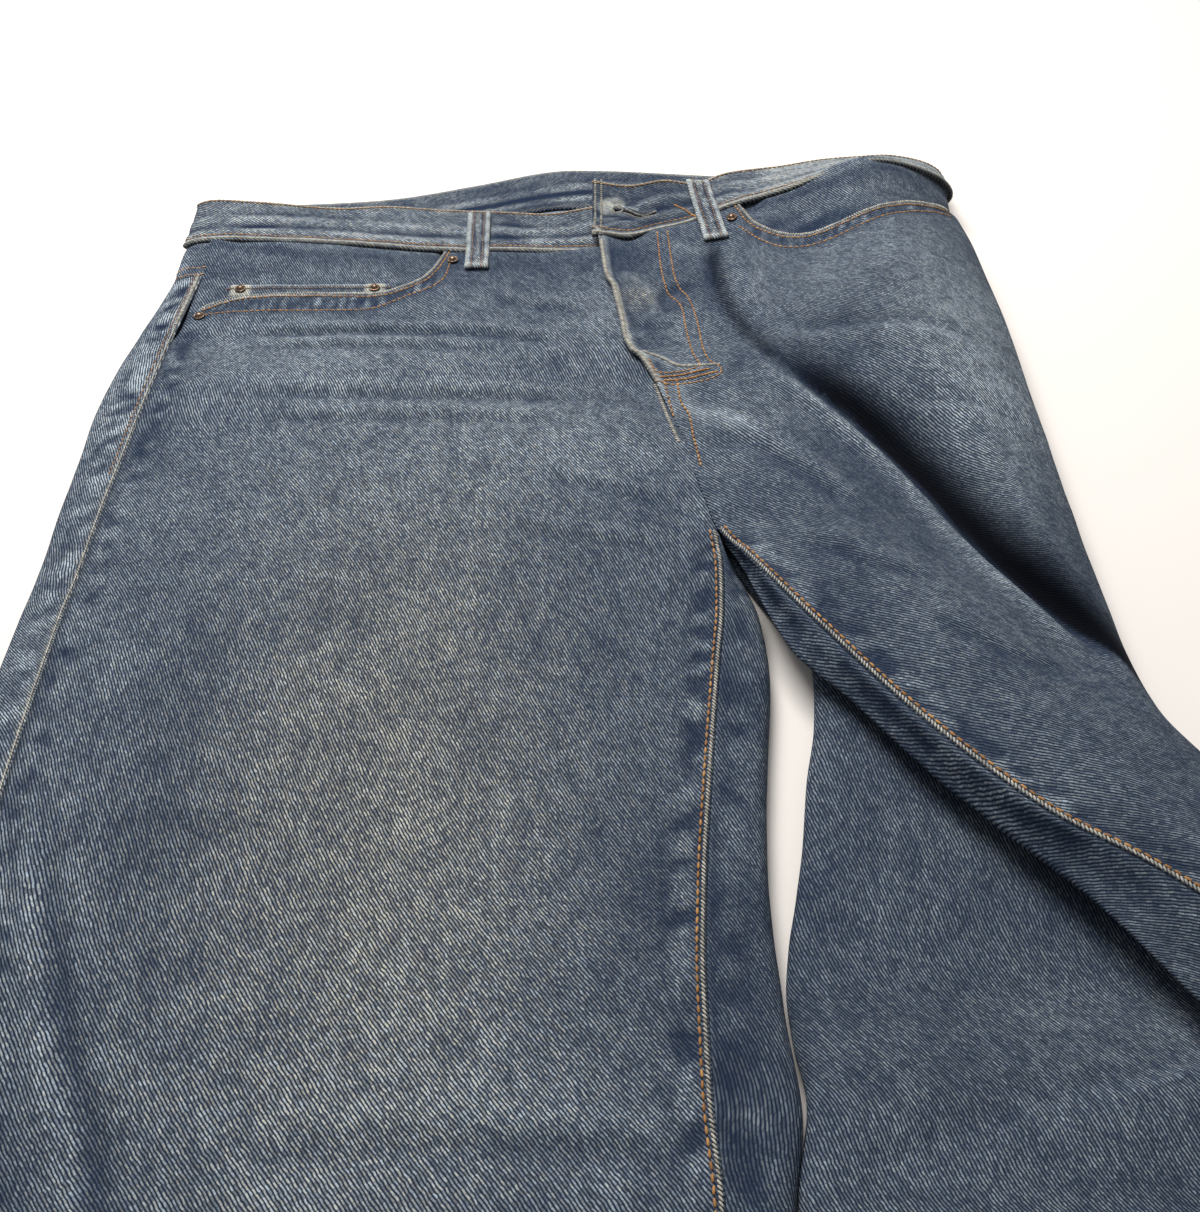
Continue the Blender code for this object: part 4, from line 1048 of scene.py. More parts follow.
# Worn ridges in the fly: lightness, half width and run.
FLY_RIDGES = (
    (0.40, 0.20, ((1.9, 8.3), (2.6, 7.8), (3.3, 7.4), (4.2, 6.6), (5.7, 6.3))),
    (0.32, 0.30, ((3.0, 6.1), (3.3, 4.2), (3.8, 2.4))),
    (0.26, 0.45, ((3.9, 5.6), (4.3, 3.7), (5.0, 3.0), (6.4, 2.4), (7.6, 1.4))),
    (0.22, 0.22, ((0.9, 15.2), (1.8, 14.9), (2.6, 13.9), (3.0, 12.2), (2.9, 10.9))),
    (0.18, 0.14, ((1.4, 9.4), (1.95, 9.75), (2.5, 9.6))),
    (0.14, 0.20, ((4.0, 18.0), (5.4, 16.9), (6.6, 16.6))),
)
# The lower row of sewing under each pocket opening, as (x, y).
SECOND_ROW_RIGHT = ((-22.1, 12.5), (-19.0, 12.62), (-15.7, 12.62), (-12.9, 12.72), (-11.0, 14.0),
                    (-9.1, 15.4), (-8.75, 17.1))
SECOND_ROW_LEFT = ((8.1, 18.4), (9.2, 16.6), (10.5, 15.4), (12.3, 15.05), (14.4, 15.6),
                   (16.4, 16.5), (18.6, 18.0), (20.4, 19.25))

# Wash of each front: strength, centre, half sizes and turn in degrees.
WASH_RIGHT = (
    (0.09, -9.0, -14.0, 8.0, 12.0, 4.0), (0.15, -8.0, -34.0, 8.0, 12.0, 0.0),
    (0.06, -10.0, 0.0, 9.0, 5.0, 0.0),
    (0.09, -14.0, 7.5, 10.0, 5.0, 0.0), (0.09, 0.2, 8.5, 1.8, 7.0, 0.0),
    (0.07, -2.4, 1.2, 2.6, 2.6, 0.0), (0.05, -7.0, 12.6, 3.0, 1.6, 0.0),
    (0.10, -12.0, -70.0, 8.0, 18.0, 0.0),
    (-0.10, -4.6, 16.8, 5.0, 1.4, 0.0), (-0.06, -12.0, 11.6, 5.5, 0.8, -4.0),
    (-0.03, -3.0, 12.0, 3.0, 4.0, 0.0), (0.08, -23.0, -14.0, 1.2, 9.0, 0.0),
    (-0.07, 1.6, -24.0, 2.2, 8.0, 0.0), (-0.06, -17.0, -17.0, 2.4, 9.0, -8.0),
    (0.07, -20.6, -25.0, 2.0, 6.0, 0.0),
    (-0.06, 0.2, 5.0, 2.0, 2.8, 0.0), (-0.05, -3.0, -12.0, 2.0, 6.0, 10.0),
    (0.04, -3.6, -27.0, 2.0, 4.0, 0.0),
)
WASH_LEFT = (
    (0.26, 19.5, 6.0, 3.6, 7.5, 0.0), (0.08, 12.0, 12.0, 5.0, 3.5, 0.0),
    (-0.05, 12.5, -1.0, 3.5, 4.5, 40.0), (0.13, 1.9, 12.9, 1.0, 1.4, 0.0),
    (0.10, 24.5, -60.0, 2.0, 25.0, 0.0), (-0.10, 1.8, 16.9, 1.8, 1.5, 0.0),
    (-0.06, 3.0, 11.5, 2.0, 4.5, 0.0), (0.06, 8.6, 1.5, 3.0, 3.5, 0.0),
    (-0.06, 6.4, 16.0, 1.6, 3.0, 0.0), (0.08, 4.4, 9.0, 0.8, 2.4, 0.0),
)

PUCKER_PITCH = 1.15
PUCKER_HEIGHT = 0.06


def puckers(gap, way, seed):
    """Height and lightness of the blotches beside a seam: dark troughs, paler hills between."""
    window = plateau(gap, 0.15, 0.7, 0.8, 1.7)
    wave = 1.5 * noise(way / (0.5 * PUCKER_PITCH) + 0.5 * gap, gap / 1.5 + 7.3 * seed, seed)
    wave = wave + 0.45 * noise(way / 0.42, gap / 0.8 + 3.1 * seed, seed + 50)
    light = smoothstep(-0.7, 0.7, wave) - 0.46
    return wave * window * PUCKER_HEIGHT, light * window


def seam_ways(points, column):
    """Each row's way along one column, on every point of the row."""
    return np.broadcast_to(way_along(points[:, column])[:, None], points.shape[:2])


def row_ends(points, across):
    """The whole length of each row, whose last points may be empty."""
    return np.nanmax(np.where(np.isfinite(points[..., 0]), across, np.nan), axis=1, keepdims=True)


def panel_look(points, base, edges, creased=(), spotted=(), seed=1):
    """Folds, raised seam layers and looks of a panel.

    edges names what is sewn at each edge: the way from it, the way along it, its darkening, the
    darkening's reach, the raised layer's height and how strong its puckers are.
    """
    x, y = points[..., 0], points[..., 1]
    fold, light = creases(x, y, creased)
    wash_and_shade = base + spots(x, y, spotted)
    nearest = np.full(x.shape, 99.0)
    raised = np.zeros(x.shape)
    for number, (gap, way, dark, reach, layer, strength) in enumerate(edges):
        hill, blotch = puckers(gap, way, seed * 10 + number)
        fold += hill * strength
        wash_and_shade = wash_and_shade - dark * (1 - smoothstep(0.4, reach, gap)) + 0.32 * blotch * strength
        raised = np.maximum(raised, layer * (1 - smoothstep(0.42, 0.62, gap)))
        nearest = np.minimum(nearest, gap)
    fold += 0.07 * noise(x / 3.3, y / 4.7, seed) + 0.03 * noise(x / 1.4, y / 1.9, seed + 1)
    fold *= smoothstep(0.0, 1.0, nearest)
    # Crease lightness goes into the colour: painted shade in troughs, painted light and wear on
    # ridges.
    wash_and_shade += 0.45 * light + 0.045 * noise(x / 2.6, y / 3.4, seed + 2)
    wash_and_shade += 0.02 * noise(x / 0.8, y / 1.1, seed + 3)
    rub = 0.04 * (1 - smoothstep(0.0, 0.2, nearest))
    return fold, raised, {"wash_and_shade": np.clip(wash_and_shade, 0.05, 0.9), "rub": rub, "tint": np.zeros(x.shape)}


def opening_look(points, down, opening, lower, fold, raised, looks, seed):
    """A pocket opening's worn edge and the puckered band between its two rows of sewing."""
    x, y = points[..., 0], points[..., 1]
    low, high = opening[0][0], opening[-1][0]
    inside = plateau(x, low - 0.2, low + 0.2, high - 0.2, high + 0.2)
    gap, _ = to_path(x, y, curve(lower))
    notch = noise(x / 0.13, down / 2.0, seed)
    rib = bump(down, 0.10, 0.15) * inside
    raised += rib * (0.09 + 0.03 * notch)
    band = smoothstep(0.30, 0.40, down) * smoothstep(0.0, 0.12, gap) * inside
    streak = bump((x / 0.6 + 0.35 * noise(x / 1.1, down, seed + 1)) % 1.0, 0.5, 0.15)
    streak = streak * (0.5 + 0.5 * noise(x / 0.7, down / 0.5, seed + 2))
    fold += band * (0.07 * streak - 0.02)
    band_wash = 0.045 + 0.42 * streak + 0.05 * noise(x / 0.2, down / 0.3, seed + 3)
    looks["wash_and_shade"] = np.clip(mix(looks["wash_and_shade"], band_wash, 0.9 * band), 0.015, 0.9)
    looks["rub"] += rib * (0.42 + 0.22 * notch)
    looks["tint"] = np.clip(looks["tint"] + 0.8 * rib, 0, 1)
    # Painted shade in the grooves beside the two rows of sewing.
    groove_shade = bump(gap, -0.16, 0.16) * inside + bump(down, 0.34, 0.08) * inside
    looks["wash_and_shade"] *= 1 - 0.45 * np.clip(groove_shade, 0, 1)
    return fold, raised


def right_front(finish):
    points = front_points("right")
    across, down = lengths(points)
    x, y = points[..., 0], points[..., 1]
    inner = across[:, -1:] - across
    edges = [(across, seam_ways(points, 0), 0.08, 2.8, 0.05, 0.8),
             (inner + 3.0 * body_share(y), seam_ways(points, -1), 0.09, 2.2, 0.08, 1.0)]
    fold, raised, looks = panel_look(points, 0.175, edges, CREASES_RIGHT, WASH_RIGHT, seed=1)
    looks["tint"] = np.clip(spots(x, y, ((0.9, -9.0, -18.0, 9.0, 17.0, 0.0),)), 0, 1)
    fold, raised = opening_look(points, down, POCKET_RIGHT[1:], SECOND_ROW_RIGHT, fold, raised,
                                looks, 31)
    # Painted shadow: a thin dark line along the outseam edge.
    looks["painted_shade"] = 0.55 * bump(across, 0.03, 0.09)
    return cloth("front_right_cloth", points, grain(points, 48), looks, finish, folds=fold,
                 raised=raised)


def left_front(finish):
    points = front_points("left")
    across, down = lengths(points)
    points[..., 0] += read(FLY_WANDER, 1, points[:, 0, 1])[:, None] * bump(across, 0, 0.9)
    x, y = points[..., 0], points[..., 1]
    edges = [(across + 3.0 * body_share(y), seam_ways(points, 0), 0.06, 2.6, 0.08, 1.0),
             (across[:, -1:] - across, seam_ways(points, -1), 0.05, 2.4, 0.0, 0.6)]
    fold, raised, looks = panel_look(points, 0.155, edges, CREASES_LEFT, WASH_LEFT, seed=2)
    fold, raised = opening_look(points, down, POCKET_LEFT[:-1], SECOND_ROW_LEFT, fold, raised,
                                looks, 32)
    for depth, width, path in FLY_RIDGES:
        gap, share = to_path(x, y, path)
        ridge = bump(gap, 0, width) * plateau(share, 0, 0.15, 0.85, 1)
        fold += 0.3 * depth * ridge
        looks["rub"] += depth * ridge * (0.8 + 0.4 * noise(x / 0.35, y / 0.35, 33))
    # Painted shade in the folds that lie in shadow.
    for strength, soft, hard, path in DARK_FOLDS:
        gap, share = to_path(x, y, path)
        dark = plateau(gap, -soft, -0.1, 0.1, hard) * plateau(share, 0, 0.12, 0.8, 1)
        looks["wash_and_shade"] *= 1 - 0.6 * strength * dark
        looks["painted_shade"] = np.maximum(looks.get("painted_shade", 0.0), 0.98 * strength * dark)
    flap = bump(across, 0.13, 0.17) * smoothstep(5.0, 6.2, y)
    looks["rub"] += 0.62 * flap * (0.85 + 0.3 * noise(x / 0.4, y / 0.5, 34))
    looks["tint"] = np.clip(looks["tint"] + 0.9 * flap, 0, 1)
    raised += 0.08 * flap * (1 + 0.5 * noise(y / 0.45, x, 35))
    # Painted shade in a line beside the fly's raised edge.
    edge_shade = bump(across, 0.52, 0.16) * smoothstep(5.0, 6.2, y)
    looks["wash_and_shade"] *= 1 - 0.55 * edge_shade
    looks["tint"] = np.clip(looks["tint"] + spots(x, y, ((0.7, 1.9, 13.0, 1.4, 1.5, 0.0),)), 0, 1)
    return cloth("front_left_cloth", points, grain(points, 0, 26), looks, finish, folds=fold,
                 raised=raised, over=WALL + SEAM_GAP)


def right_back(finish):
    points = back_points("right")
    across, _ = lengths(points)
    total, way = row_ends(points, across), seam_ways(points, 0)
    edges = [(across, way, 0.02, 2.0, 0.0, 1.2),
             (total - across, seam_ways(points, SEAT_COLUMN_RIGHT), 0.04, 2.0, 0.0, 0.5)]
    fold, raised, looks = panel_look(points, 0.135, edges, seed=3)
    x, y, z = (points[..., k] for k in range(3))
    fold *= smoothstep(0.25, 0.6, z)
    outer_side = x < -10
    looks["wash_and_shade"] += 0.12 * smoothstep(0.3, 0.8, z) * outer_side
    blotch = noise(way / 0.55 + 0.6 * across, across / 0.8, 36)
    beside_seam = plateau(across, 0.4, 0.6, 1.4, 2.2) * outer_side
    looks["wash_and_shade"] = np.clip(looks["wash_and_shade"] + 0.26 * blotch * beside_seam * smoothstep(-2, 2, y),
                            0.015, 0.9)
    edge = bump(across, 0.12, 0.16) * outer_side
    looks["rub"] += (0.06 + 0.35 * smoothstep(10.0, 13.0, y)) * edge
    looks["tint"] = np.clip(0.7 * edge, 0, 1)
    uv = grain(points, 36) * (-1, 1)
    return cloth("back_right_cloth", points, uv, looks, finish, outward=-1, folds=fold,
                 raised=raised + 0.06 * edge)


def left_back(finish):
    points = back_points("left")
    across, _ = lengths(points)
    total = row_ends(points, across)
    edges = [(total - across, seam_ways(points, SEAT_COLUMN_LEFT), 0.02, 2.0, 0.0, 0.5)]
    fold, raised, looks = panel_look(points, 0.145, edges, seed=4)
    y, z = points[..., 1], points[..., 2]
    fold *= smoothstep(0.25, 0.6, z)
    strip = np.arange(points.shape[1])[None] > STRIP_COLUMN
    body = grain(points, 10)
    legs = points.copy()
    legs[y[:, 0] > CROTCH_Y] = points[y[:, 0] > CROTCH_Y][:, SEAT_COLUMN_LEFT:SEAT_COLUMN_LEFT + 1]
    seam = grain(legs, -1, 16)
    turned = strip & (y < CROTCH_Y) & (y > TURNED_LOW_Y)
    coordinates = np.where(turned[..., None], seam, body)
    return cloth("back_left_cloth", points, coordinates, looks, finish, folds=fold, raised=raised)


def yoke(side, finish):
    points = yoke_points(side)
    across, down = lengths(points)
    up = down[:1] - down
    edges = [(down, across, 0.0, 1.5, 0.0, 0.6), (up, across, 0.0, 1.5, 0.0, 0.6)]
    fold, raised, looks = panel_look(points, 0.2, edges, seed=5 + (side == "left"))
    fold *= smoothstep(0.25, 0.6, points[..., 2])
    uv = grain(points, 20) * ((-1, 1) if side == "right" else (1, 1))
    return cloth(f"yoke_{side}_cloth", points, uv, looks, finish,
                 outward=-1 if side == "right" else 1, folds=fold, raised=raised)


def hem(side, finish):
    points = hem_points(side)
    across, down = lengths(points)
    up = down[:1] - down
    edges = [(up, across, -0.1, 0.8, 0.0, 0.5), (down, across, 0.03, 0.8, 0.0, 0.5)]
    _, _, looks = panel_look(points, 0.22, edges, seed=7 + (side == "left"))
    looks["rub"] += 0.35 * (1 - smoothstep(0.0, 0.3, up))
    roping = 0.03 * np.sin(across * 2.2) * smoothstep(0.3, 0.8, points[..., 2])
    return cloth(f"hem_{side}_cloth", points, grain(points, 40, 2), looks, finish,
                 thickness=BAND_WALL, raised=roping, closed=True)


def buttonhole(x, y):
    """The hole, its lip and the ring round its eye, and the worn patch and ripples beside them."""
    eye_x, eye_y = BUTTONHOLE[0]
    from_eye = np.hypot(x - eye_x, y - eye_y)
    gap, share = to_path(x, y, BUTTONHOLE)
    slit = bump(gap, 0, 0.12) * (share < 0.98) * (share > 0.02)
    lip = (bump(gap, 0.26, 0.11) + bump(gap, -0.26, 0.11)) * (share > 0.02) * (share < 0.99)
    disc = np.hypot(x - eye_x + 0.35, (y - eye_y - 0.45) * 1.1)
    worn = 1 - smoothstep(0.6, 0.95, disc)
    ripple = bump(x, 0.6, 0.9) * bump(y, 20.0, 0.7) * np.sin(2 * np.pi * y / 0.55 + 0.8 * x)
    return np.clip(slit + (from_eye < 0.19), 0, 1), lip, bump(from_eye, 0.30, 0.10), worn, ripple


def waistband(finish):
    points = band_points()
    across, down = lengths(points)
    up = down[:1] - down
    total = across[0, -1]
    x, y, z = (points[..., k] for k in range(3))
    way = np.broadcast_to(across[20:21], across.shape)
    place = up + 0.25 * noise(way / 3.2, 0.3 * up, 41)
    height, light = np.zeros(x.shape), np.zeros(x.shape)
    for number, (centre, width, lift, pale) in enumerate(BAND_RIDGES):
        ridge = (0.7 + 0.6 * noise(way / 2.2, number + 0.2 * up, 42)) * bump(place, centre, width)
        height += lift * ridge
        light += pale * ridge
    front = smoothstep(0.5, 0.9, z)
    waves = 0.05 * noise(way / 1.6, up / 2.5, 43) * smoothstep(0.3, 1.2, down)
    flap = smoothstep(total - 8.6, total - 7.6, way)
    light = 1.3 * light + 0.05 * noise(way / 1.6, up / 0.7, 44)
    wash_and_shade = 0.24 + light * (1 - 0.4 * flap) - 0.13 * flap
    # Painted shadow beside the front right belt loop, and a weaker one further along the band.
    loop_shadow = bump(x, -5.6, 1.3) + bump(x, -2.0, 1.0) * 0.5
    wash_and_shade -= 0.13 * loop_shadow * front * (1 - flap)
    wash_and_shade += 0.24 * smoothstep(8.5, 11.0, x) * front - 0.10 * (1 - front)
    worn_edge = 0.85 + 0.3 * noise(way / 0.3, up, 45)
    rub = 0.30 * bump(down, 0.10, 0.14) + 0.50 * bump(up, 0.20, 0.17) * worn_edge * front
    end = total - across
    on_flap = end < 9.0
    rub += 0.6 * on_flap * (bump(end, 0.10, 0.13) + bump(end, 0.50, 0.12))
    # Painted shade in the groove between the flap end's two ridges.
    wash_and_shade -= 0.12 * on_flap * bump(end, 0.30, 0.10)
    raised = 0.07 * bump(down, 0.12, 0.16) + 0.07 * bump(up, 0.18, 0.16)
    raised += on_flap * (0.07 * (bump(end, 0.10, 0.12) + bump(end, 0.50, 0.12)))
    hole, lip, ring, worn, ripple = (on_flap * share for share in buttonhole(x, y))
    rub += 0.40 * worn * (0.8 + 0.4 * noise(x / 0.3, y / 0.25, 46))
    rub = np.clip(rub + 0.16 * ripple + 0.22 * lip + 0.35 * ring, 0, 1)
    # The hole is painted shade: its colour goes dark, with no rub or fade.
    rub, wash_and_shade = rub * (1 - hole), wash_and_shade * (1 - hole)
    folds = (height + waves) * smoothstep(0.2, 0.5, z)
    folds = folds + 0.04 * ripple - 0.14 * hole + 0.05 * (lip + ring)
    uv = grain(points, 0, 2)[..., ::-1] * (-1, 1)
    tint = np.clip(0.25 + 0.6 * bump(down, 0.1, 0.2) + 0.5 * worn + 0.6 * bump(up, 0.2, 0.2)
                   + 0.15 * smoothstep(8.5, 11.0, x) * front, 0, 1)
    # Painted shadow along the band's lower edge, where it overhangs the front.
    under = bump(up, 0.0, 0.09) * front
    looks = {"wash_and_shade": np.clip(wash_and_shade, 0.01, 0.9), "rub": rub, "tint": tint,
             "painted_shade": np.clip(0.9 * hole + 0.8 * under, 0, 1)}
    return cloth("waistband_cloth", points, uv, looks, finish, thickness=BAND_WALL, outward=-1,
                 folds=folds, raised=raised * smoothstep(0.2, 0.5, z))


def facing(side, finish):
    points = facing_points(side)
    points[-1, :, 1] += FACING_UNDER_BAND
    across, down = lengths(points)
    wash_and_shade = 0.17 + 0.05 * noise(across / 2.0, down / 1.0, 51)
    wash_and_shade += 0.05 * noise(across / 5.0, down / 0.7, 55)
    streak = 1.1 + 0.4 * noise(across / 6, 0, 56)
    # Lighter near the top edge, with a band of painted shade below it.
    wash_and_shade += 0.08 * bump(down, 0.25, 0.25) - 0.08 * bump(down, streak, 0.4)
    depth = FACING_DROP
    if side == "left":
        # Painted shadow where the facing goes deep under the opening's lowest point.
        wash_and_shade -= 0.16 * bump(points[..., 0], 11.8, 2.2) * bump(down, down[:1] - 1.9, 0.9)
    else:
        depth = FACING_DROP * (0.35 + 0.65 * smoothstep(0.0, 2.0, across))
    fold = 0.03 * noise(across / 2.4, down / 0.9, 52)
    looks = {"wash_and_shade": np.clip(wash_and_shade, 0.03, 1), "rub": 0.0, "tint": 0.0}
    return cloth(f"pocket_facing_{side}_cloth", points, grain(points, 30, 2), looks, finish,
                 thickness=FACING_WALL, folds=fold, depth=depth)


def fly_facing_points(rows=40, columns=20):
    """The backing under the left front at the fly, ending in the curve of the double stitching."""
    across = np.linspace(0.25, 4.1, columns)[None]
    low = FLY_FACING_Y + 2.6 * np.maximum(0.0, (across - 1.2) / 2.9) ** 2
    y = mix(low, WAIST_Y - 0.4, np.linspace(0, 1, rows)[:, None])
    x = read(LEFT, "seam", y) + across
    section = left_front_section(y[:, 0])
    z = np.array([[np.interp(a, run[:60, 0], run[:60, 1]) for a in line]
                  for line, run in zip(x, section)])
    shift = smoothstep(WAIST_BLEND_Y, WAIST_Y, y) * (along(WAIST["left"], x) - WAIST_Y)
    return joined(x, y + shift, z)


def fly_facing(finish):
    points = fly_facing_points()
    across, down = lengths(points)
    wash_and_shade = 0.3 + 0.05 * noise(across, down, 58)
    looks = {"wash_and_shade": wash_and_shade, "rub": 0.0, "tint": 0.0}
    return cloth("fly_facing_cloth", points, grain(points, 10, 2), looks, finish,
                 thickness=FACING_WALL, depth=WALL + SEAM_GAP)


def coin_pocket(finish):
    points = coin_points()
    across, down = lengths(points)
    wash_and_shade = 0.155 + 0.06 * noise(across / 1.2, down / 0.8, 53)
    notch = noise(across / 0.14, down, 57)
    rub = (0.30 + 0.2 * notch) * (1 - smoothstep(0.10, 0.24, down))
    gaps = [np.maximum(np.abs(points[..., 0] - x), np.abs(points[..., 1] - y))
            for name, x, y, _ in RIVETS if "coin" in name]
    tabs = sum(1 - smoothstep(0.5, 0.6, gap) for gap in gaps)
    rub += 0.5 * tabs
    # Painted shade in the groove below the top row of sewing.
    wash_and_shade *= 1 - 0.5 * bump(down, 0.42, 0.12)
    looks = {"wash_and_shade": wash_and_shade, "rub": rub, "tint": np.clip(0.3 + tabs, 0, 1)}
    return cloth("coin_pocket_cloth", points, grain(points, 30, 2), looks, finish,
                 thickness=FACING_WALL, folds=0.02 * noise(across / 1.2, down, 54),
                 raised=0.05 * bump(down, 0.1, 0.14) + 0.03 * tabs, depth=COIN_DEPTH)


# ---------------------------------------------------------------- belt loops, rivets and button

LOOP_WIDTH = 1.3
BELT_LOOPS = (
    # name, x_low, x_high, y_low, y_high, under
    ("belt_loop_front_right", -7.15, -7.35, 16.4, 22.9, False),
    ("belt_loop_front_left", 6.70, 5.90, 17.6, 23.3, False),
    ("belt_loop_back_right", -13.5, -13.5, 18.9, 25.0, True),
    ("belt_loop_back_centre", -1.6, -1.6, 22.1, 28.2, True),
    ("belt_loop_back_left", 11.0, 11.0, 21.4, 27.4, True),
)
RIVETS = (
    # name, x, y, depth of the face that carries it
    ("rivet_coin_outer", -20.6, 14.95, COIN_DEPTH),
    ("rivet_coin_inner", -12.9, 14.95, COIN_DEPTH),
    ("rivet_right_inner", -8.6, 17.4, 0.0),
    ("rivet_right_outer", -22.4, 12.3, 0.0),
    ("rivet_left_inner", 7.7, 19.4, 0.0),
)
RIVET_CLEARANCE = 0.09
BUTTON_PLACE = (0.7, 21.2, 1.58, 0.22)     # x, y, z and slope


def height_on(x, y, pieces):
    """The highest face of some pieces over one point."""
    found = 0.0
    for piece in pieces:
        hit = piece.tree.ray_cast(Vector((x, y, 20.0)), Vector((0, 0, -1)))
        if hit[0] is not None:
            found = max(found, hit[0].z)
    return found


def belt_loop(name, x_low, x_high, y_low, y_high, under, carriers, finish):
    """A folded strip with rounded, worn edges and a turned foot."""
    part = np.linspace(0, 1, 60)
    side = np.linspace(-0.5, 0.5, 17) * LOOP_WIDTH
    x = mix(x_low, x_high, part)[:, None] + side[None]
    y = np.broadcast_to(mix(y_low, y_high, part)[:, None], x.shape)
    if under:
        z = np.full(x.shape, UNDER_RISE - SEAM_GAP - LOOP_WALL)
    else:
        z = np.array([[height_on(a, b, carriers) for a, b in zip(r, q)] for r, q in zip(x, y)])
        z = np.maximum(z, z.max(axis=1, keepdims=True) - 0.25)
        pad = np.pad(z, ((5, 5), (0, 0)), mode="edge")
        z = np.mean([pad[k:k + len(z)] for k in range(11)], axis=0) + 2 * SEAM_GAP + LOOP_WALL
    points = joined(x, y, z)
    across, down = lengths(points)
    edge = np.minimum(across, across[:, -1:] - across)
    foot = bump(part, 0.03, 0.04)[:, None] + bump(part, 0.97, 0.04)[:, None]
    raised = (0.0 if under else 1.0) * (0.07 * foot + 0.05 * bump(edge, 0.13, 0.12))
    fray = 0.8 + 0.4 * noise(across / 0.1, down / 0.16, 62)
    rub = 0.55 * (1 - smoothstep(0.16, 0.30, edge)) * fray + 0.35 * foot
    wash_and_shade = 0.20 + 0.12 * noise(across / 0.3, down / 0.4, 61) + 0.16 * bump(edge, 0.65, 0.13)
    # Painted shade in the grooves of the two rows of sewing.
    wash_and_shade -= 0.10 * bump(edge, 0.38, 0.08)
    looks = {"wash_and_shade": np.clip(wash_and_shade, 0.03, 1), "rub": rub, "tint": 0.4}
    return cloth(f"{name}_cloth", points, grain(points, 8, 2), looks, finish, thickness=LOOP_WALL,
                 outward=-1 if under else 1, raised=raised)


def turned(name, centre, slopes, profile, finish, sides=40):
    """A small round piece from a profile of (radius, height), standing on a sloping face."""
    up = np.array((-slopes[0], -slopes[1], 1.0))
    up /= np.linalg.norm(up)
    side = np.cross((0.0, 1.0, 0.0), up)
    side /= np.linalg.norm(side)
    ahead = np.cross(up, side)
    angle = np.linspace(0, 2 * np.pi, sides, endpoint=False)[:, None]
    circle = np.cos(angle) * side + np.sin(angle) * ahead
    rings = [np.array(centre) + up * height + max(radius, 0.004) * circle
             for radius, height in profile]
    points = np.concatenate(rings)
    faces = []
    for ring in range(len(profile) - 1):
        for k in range(sides):
            a, b = ring * sides + k, ring * sides + (k + 1) % sides
            faces.append((a, b, b + sides, a + sides))
    mesh = bpy.data.meshes.new(name)
    last = (len(profile) - 1) * sides
    caps = [tuple(range(sides))[::-1], tuple(range(last, last + sides))]
    mesh.from_pydata((points * CM).tolist(), [], faces + caps)
    mesh.validate()
    mesh.materials.append(finish)
    mesh.shade_smooth()
    mesh.set_sharp_from_angle(angle=0.9)
    return placed(name, mesh)


def rivet(name, x, y, sunk, finish):
    side = "left" if x > 0 else "right"
    z = on_front(side, np.array([x]))[0, 1] - sunk + RIVET_CLEARANCE
    low, high = on_front(side, np.array([x - 0.4, x + 0.4]))[:, 1]
    profile = [(0.0, -0.02), (0.25, -0.02), (0.30, 0.0), (0.315, 0.03), (0.30, 0.055),
               (0.265, 0.06), (0.24, 0.05), (0.21, 0.07), (0.17, 0.13), (0.10, 0.17),
               (0.05, 0.185), (0.0, 0.188)]
    return turned(f"{name}_cap", (x, y, z), ((high - low) / 0.8, 0.0), profile, finish)


def button(finish):
    x, y, z, slope = BUTTON_PLACE
    profile = [(0.0, -0.14), (0.80, -0.14), (0.86, -0.06), (0.86, 0.02), (0.80, 0.10),
               (0.70, 0.13), (0.62, 0.10), (0.30, 0.09), (0.0, 0.09)]
    return turned("button_cap", (x, y, z), (0.0, slope), profile, finish)


# ---------------------------------------------------------------- sewing

# Stitching on the front, as runs of (x, y) points seen from above.
J_INNER = ((3.35, 18.9), (3.5, 15.3), (3.8, 13.3), (4.45, 12.0), (4.65, 9.9), (4.9, 7.8),
           (5.2, 6.45), (4.7, 6.3), (3.9, 6.3), (2.95, 6.5), (2.6, 7.4))
J_OUTER = ((3.95, 18.9), (4.1, 16.1), (4.3, 14.1), (4.9, 12.6), (5.25, 10.7), (5.5, 7.8),
           (5.75, 6.9), (6.2, 6.3), (6.3, 5.95), (6.0, 5.5), (5.45, 5.32), (4.6, 5.3),
           (3.8, 5.37), (2.95, 5.7))
BARTACK_EDGE = ((2.35, 8.1), (3.3, 7.45), (4.2, 6.65), (5.5, 6.55), (6.2, 6.5))
BARTACK_ROWS = (((3.2, 6.05), (4.2, 6.0), (5.6, 6.15)), ((3.4, 5.75), (4.6, 5.65), (6.0, 5.85)))
CENTRE_EDGE = ((2.9, 5.7), (3.2, 4.2), (3.55, 2.6), (3.9, 1.2))
CENTRE_ROWS = (((3.35, 5.5), (3.6, 3.9), (3.95, 2.0)),
               ((4.0, 5.6), (4.15, 4.0), (4.5, 3.1), (4.65, 1.5), (4.9, -0.6)))


def curve(path, steps=10):
    """A smooth run of points through a few."""
    path = np.asarray(path, float)
    return through(path[None], [steps] * (len(path) - 1))[0]


def beside(path, distance):
    """A run of (x, y) points moved to its left."""
    ahead = unit(np.gradient(path, axis=0))
    return path + distance * joined(-ahead[:, 1], ahead[:, 0])


def dropped(path, pieces, step=0.08):
    """Points and normals where a run of (x, y) points lies on pieces, seen from above."""
    path = np.asarray(path, float)
    way = way_along(path)
    at = np.arange(0, way[-1] + step, step)
    places, faces = [], []
    for x, y in zip(np.interp(at, way, path[:, 0]), np.interp(at, way, path[:, 1])):
        best, face = None, None
        for piece in pieces:
            hit, normal, _, _ = piece.tree.ray_cast(Vector((x, y, 20.0)), Vector((0, 0, -1)))
            if hit is not None and (best is None or hit.z > best.z):
                best, face = hit, normal if normal.z > 0 else -normal
        if best is not None:
            places.append(best)
            faces.append(face)
    return np.array(places), np.array(faces)


